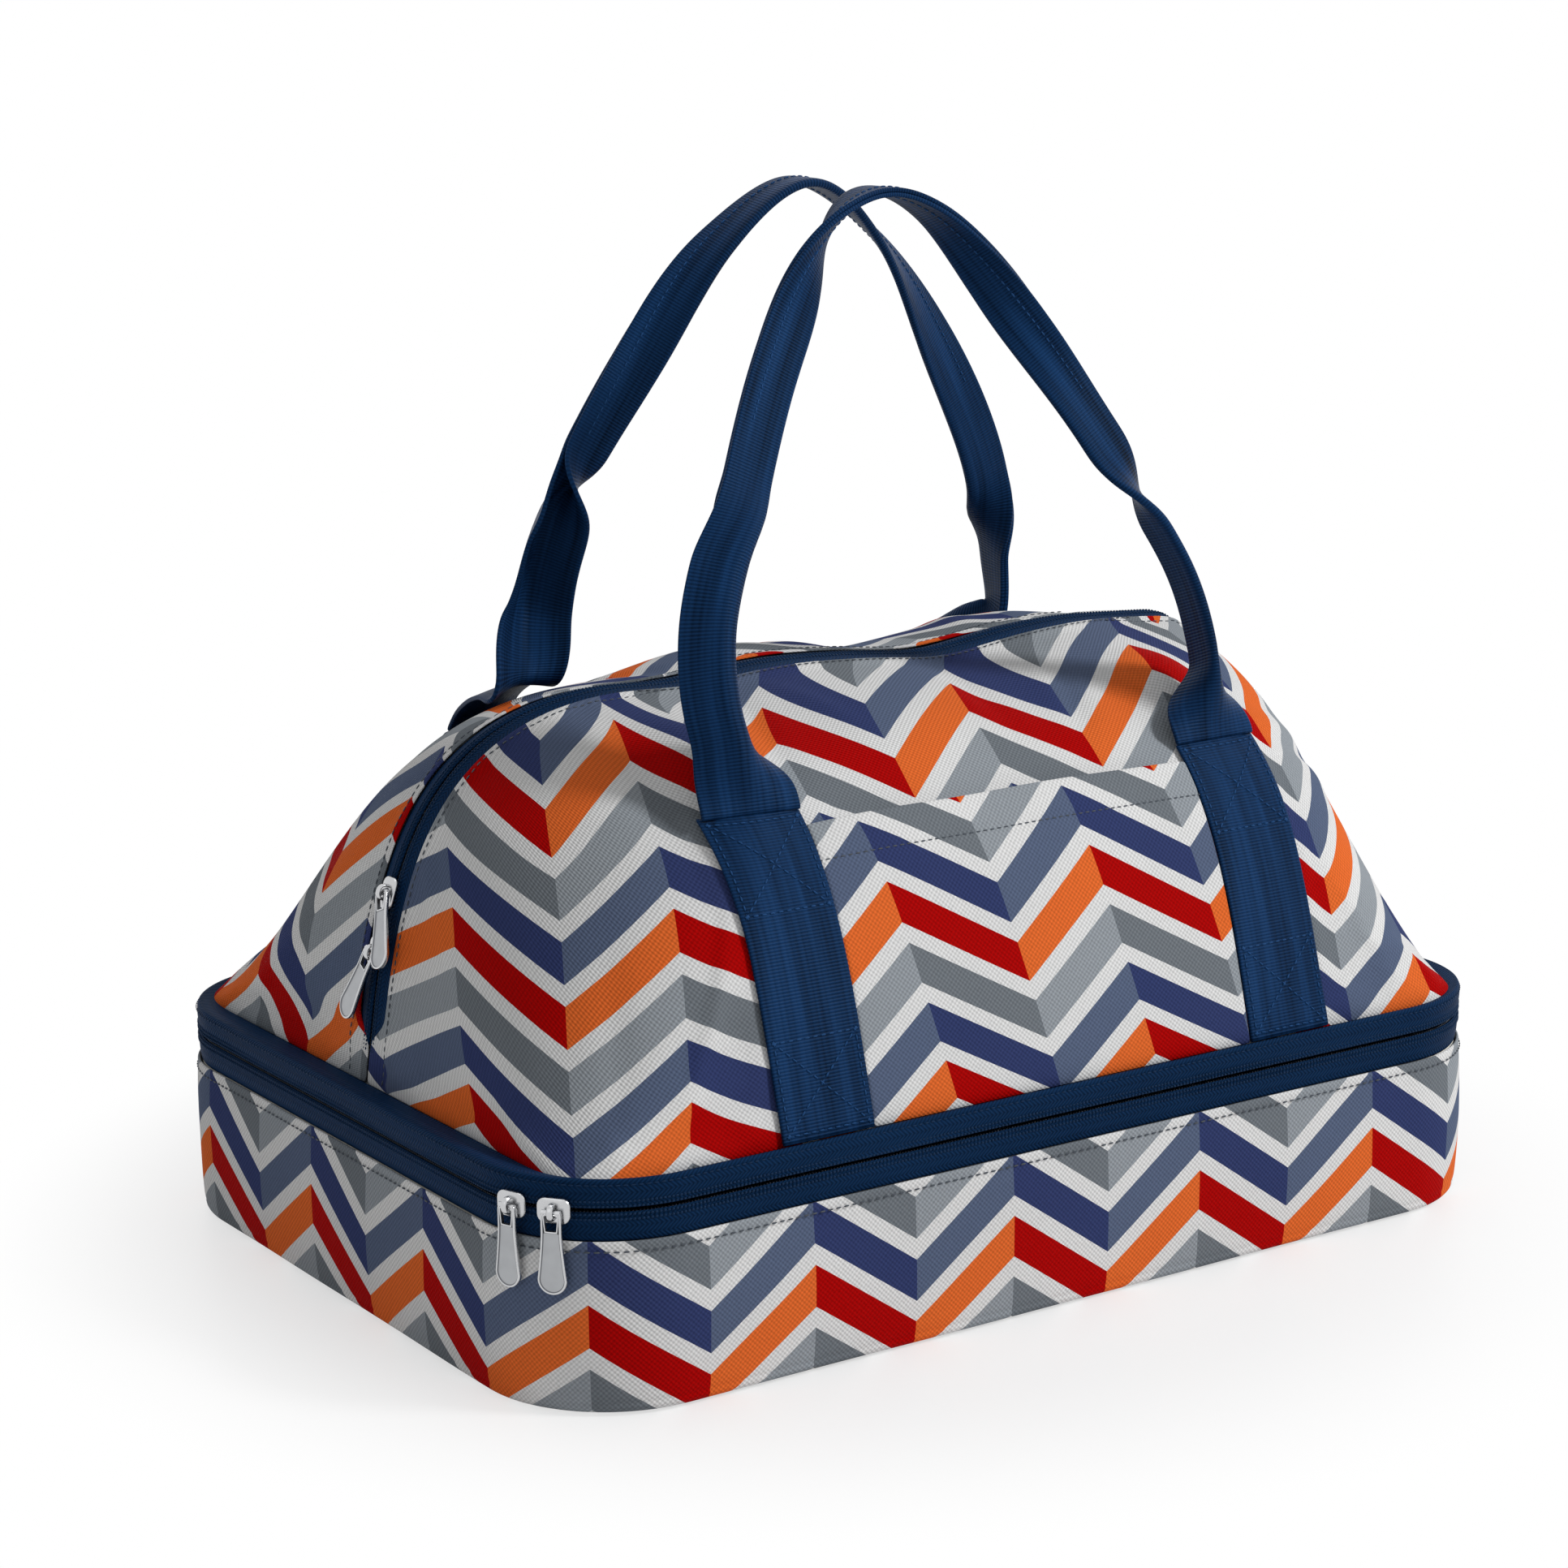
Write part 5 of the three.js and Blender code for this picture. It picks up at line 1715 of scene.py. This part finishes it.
def makeFloor():
    # white to the eye away from the carrier, and partly shaded under it
    material, tree, shader = newMaterial("paleFloor", studio["floorRoughness"])
    shader.inputs["Base Color"].default_value = studio["floorTone"]
    place = addNode(tree, "ShaderNodeTexCoord")
    spot = addNode(tree, "ShaderNodeVectorMath", operation="LENGTH")
    tree.links.new(place.outputs["Object"], spot.inputs[0])
    near = addNode(tree, "ShaderNodeMapRange", interpolation_type="SMOOTHSTEP")
    near.inputs["From Min"].default_value, near.inputs["From Max"].default_value = studio["floorNear"]
    near.inputs["To Min"].default_value = studio["nearWhite"]
    tree.links.new(spot.outputs["Value"], near.inputs["Value"])
    share = calc(tree, "MULTIPLY", seenDirectly(tree), near.outputs[0])
    white = addNode(tree, "ShaderNodeEmission")
    mix = addNode(tree, "ShaderNodeMixShader")
    tree.links.new(share, mix.inputs[0])
    tree.links.new(shader.outputs[0], mix.inputs[1])
    tree.links.new(white.outputs[0], mix.inputs[2])
    tree.links.new(mix.outputs[0], tree.nodes["Material Output"].inputs["Surface"])
    span = studio["floorSpan"]
    corners = [(-span, -span, 0), (span, -span, 0), (span, span, 0), (-span, span, 0)]
    makePiece("studio_floor", corners, [(0, 1, 2, 3)], material)


def makeWorld():
    world = bpy.data.worlds.new("studio")
    bpy.context.scene.world = world
    world.use_nodes = True
    tree = world.node_tree
    tree.nodes.clear()
    light = studio["worldLight"]
    strength = calc(tree, "MULTIPLY_ADD", seenDirectly(tree), 1.0 - light, light)
    sky = addNode(tree, "ShaderNodeBackground")
    sky.inputs["Color"].default_value = (1, 1, 1, 1)
    tree.links.new(strength, sky.inputs["Strength"])
    leave = addNode(tree, "ShaderNodeOutputWorld")
    tree.links.new(sky.outputs[0], leave.inputs[0])


def makeLamp(name, place, target, size, power):
    lamp = bpy.data.lights.new(name, "AREA")
    lamp.shape = "DISK"
    lamp.size = size
    lamp.energy = power
    item = bpy.data.objects.new(name, lamp)
    item.location = place
    item.rotation_mode = "QUATERNION"
    item.rotation_quaternion = (Vector(target) - Vector(place)).to_track_quat("-Z", "Y")
    bpy.context.collection.objects.link(item)


def makeCamera():
    yaw, pitch, roll = [math.radians(studio[k]) for k in ("yaw", "pitch", "roll")]
    back = Vector((math.sin(yaw) * math.cos(pitch), -math.cos(yaw) * math.cos(pitch), math.sin(pitch)))
    right = Vector((math.cos(yaw), math.sin(yaw), 0))
    up = back.cross(right)
    tilted = math.cos(roll) * right + math.sin(roll) * up
    raised = -math.sin(roll) * right + math.cos(roll) * up
    data = bpy.data.cameras.new("photo_view")
    data.sensor_width = studio["sensor"]
    data.lens = studio["focal"]
    data.shift_x, data.shift_y = studio["shift"]
    data.clip_end = studio["farClip"]
    camera = bpy.data.objects.new("photo_view", data)
    turn = Matrix((tilted, raised, back)).transposed().to_4x4()
    camera.matrix_world = Matrix.Translation(Vector(studio["target"]) + back * studio["distance"]) @ turn
    bpy.context.collection.objects.link(camera)
    bpy.context.scene.camera = camera


makeFloor()
makeWorld()
for lampName, settings in lamps.items():
    makeLamp(lampName, **settings)
makeCamera()
bpy.context.scene.view_settings.view_transform = "Standard"
report("studio")
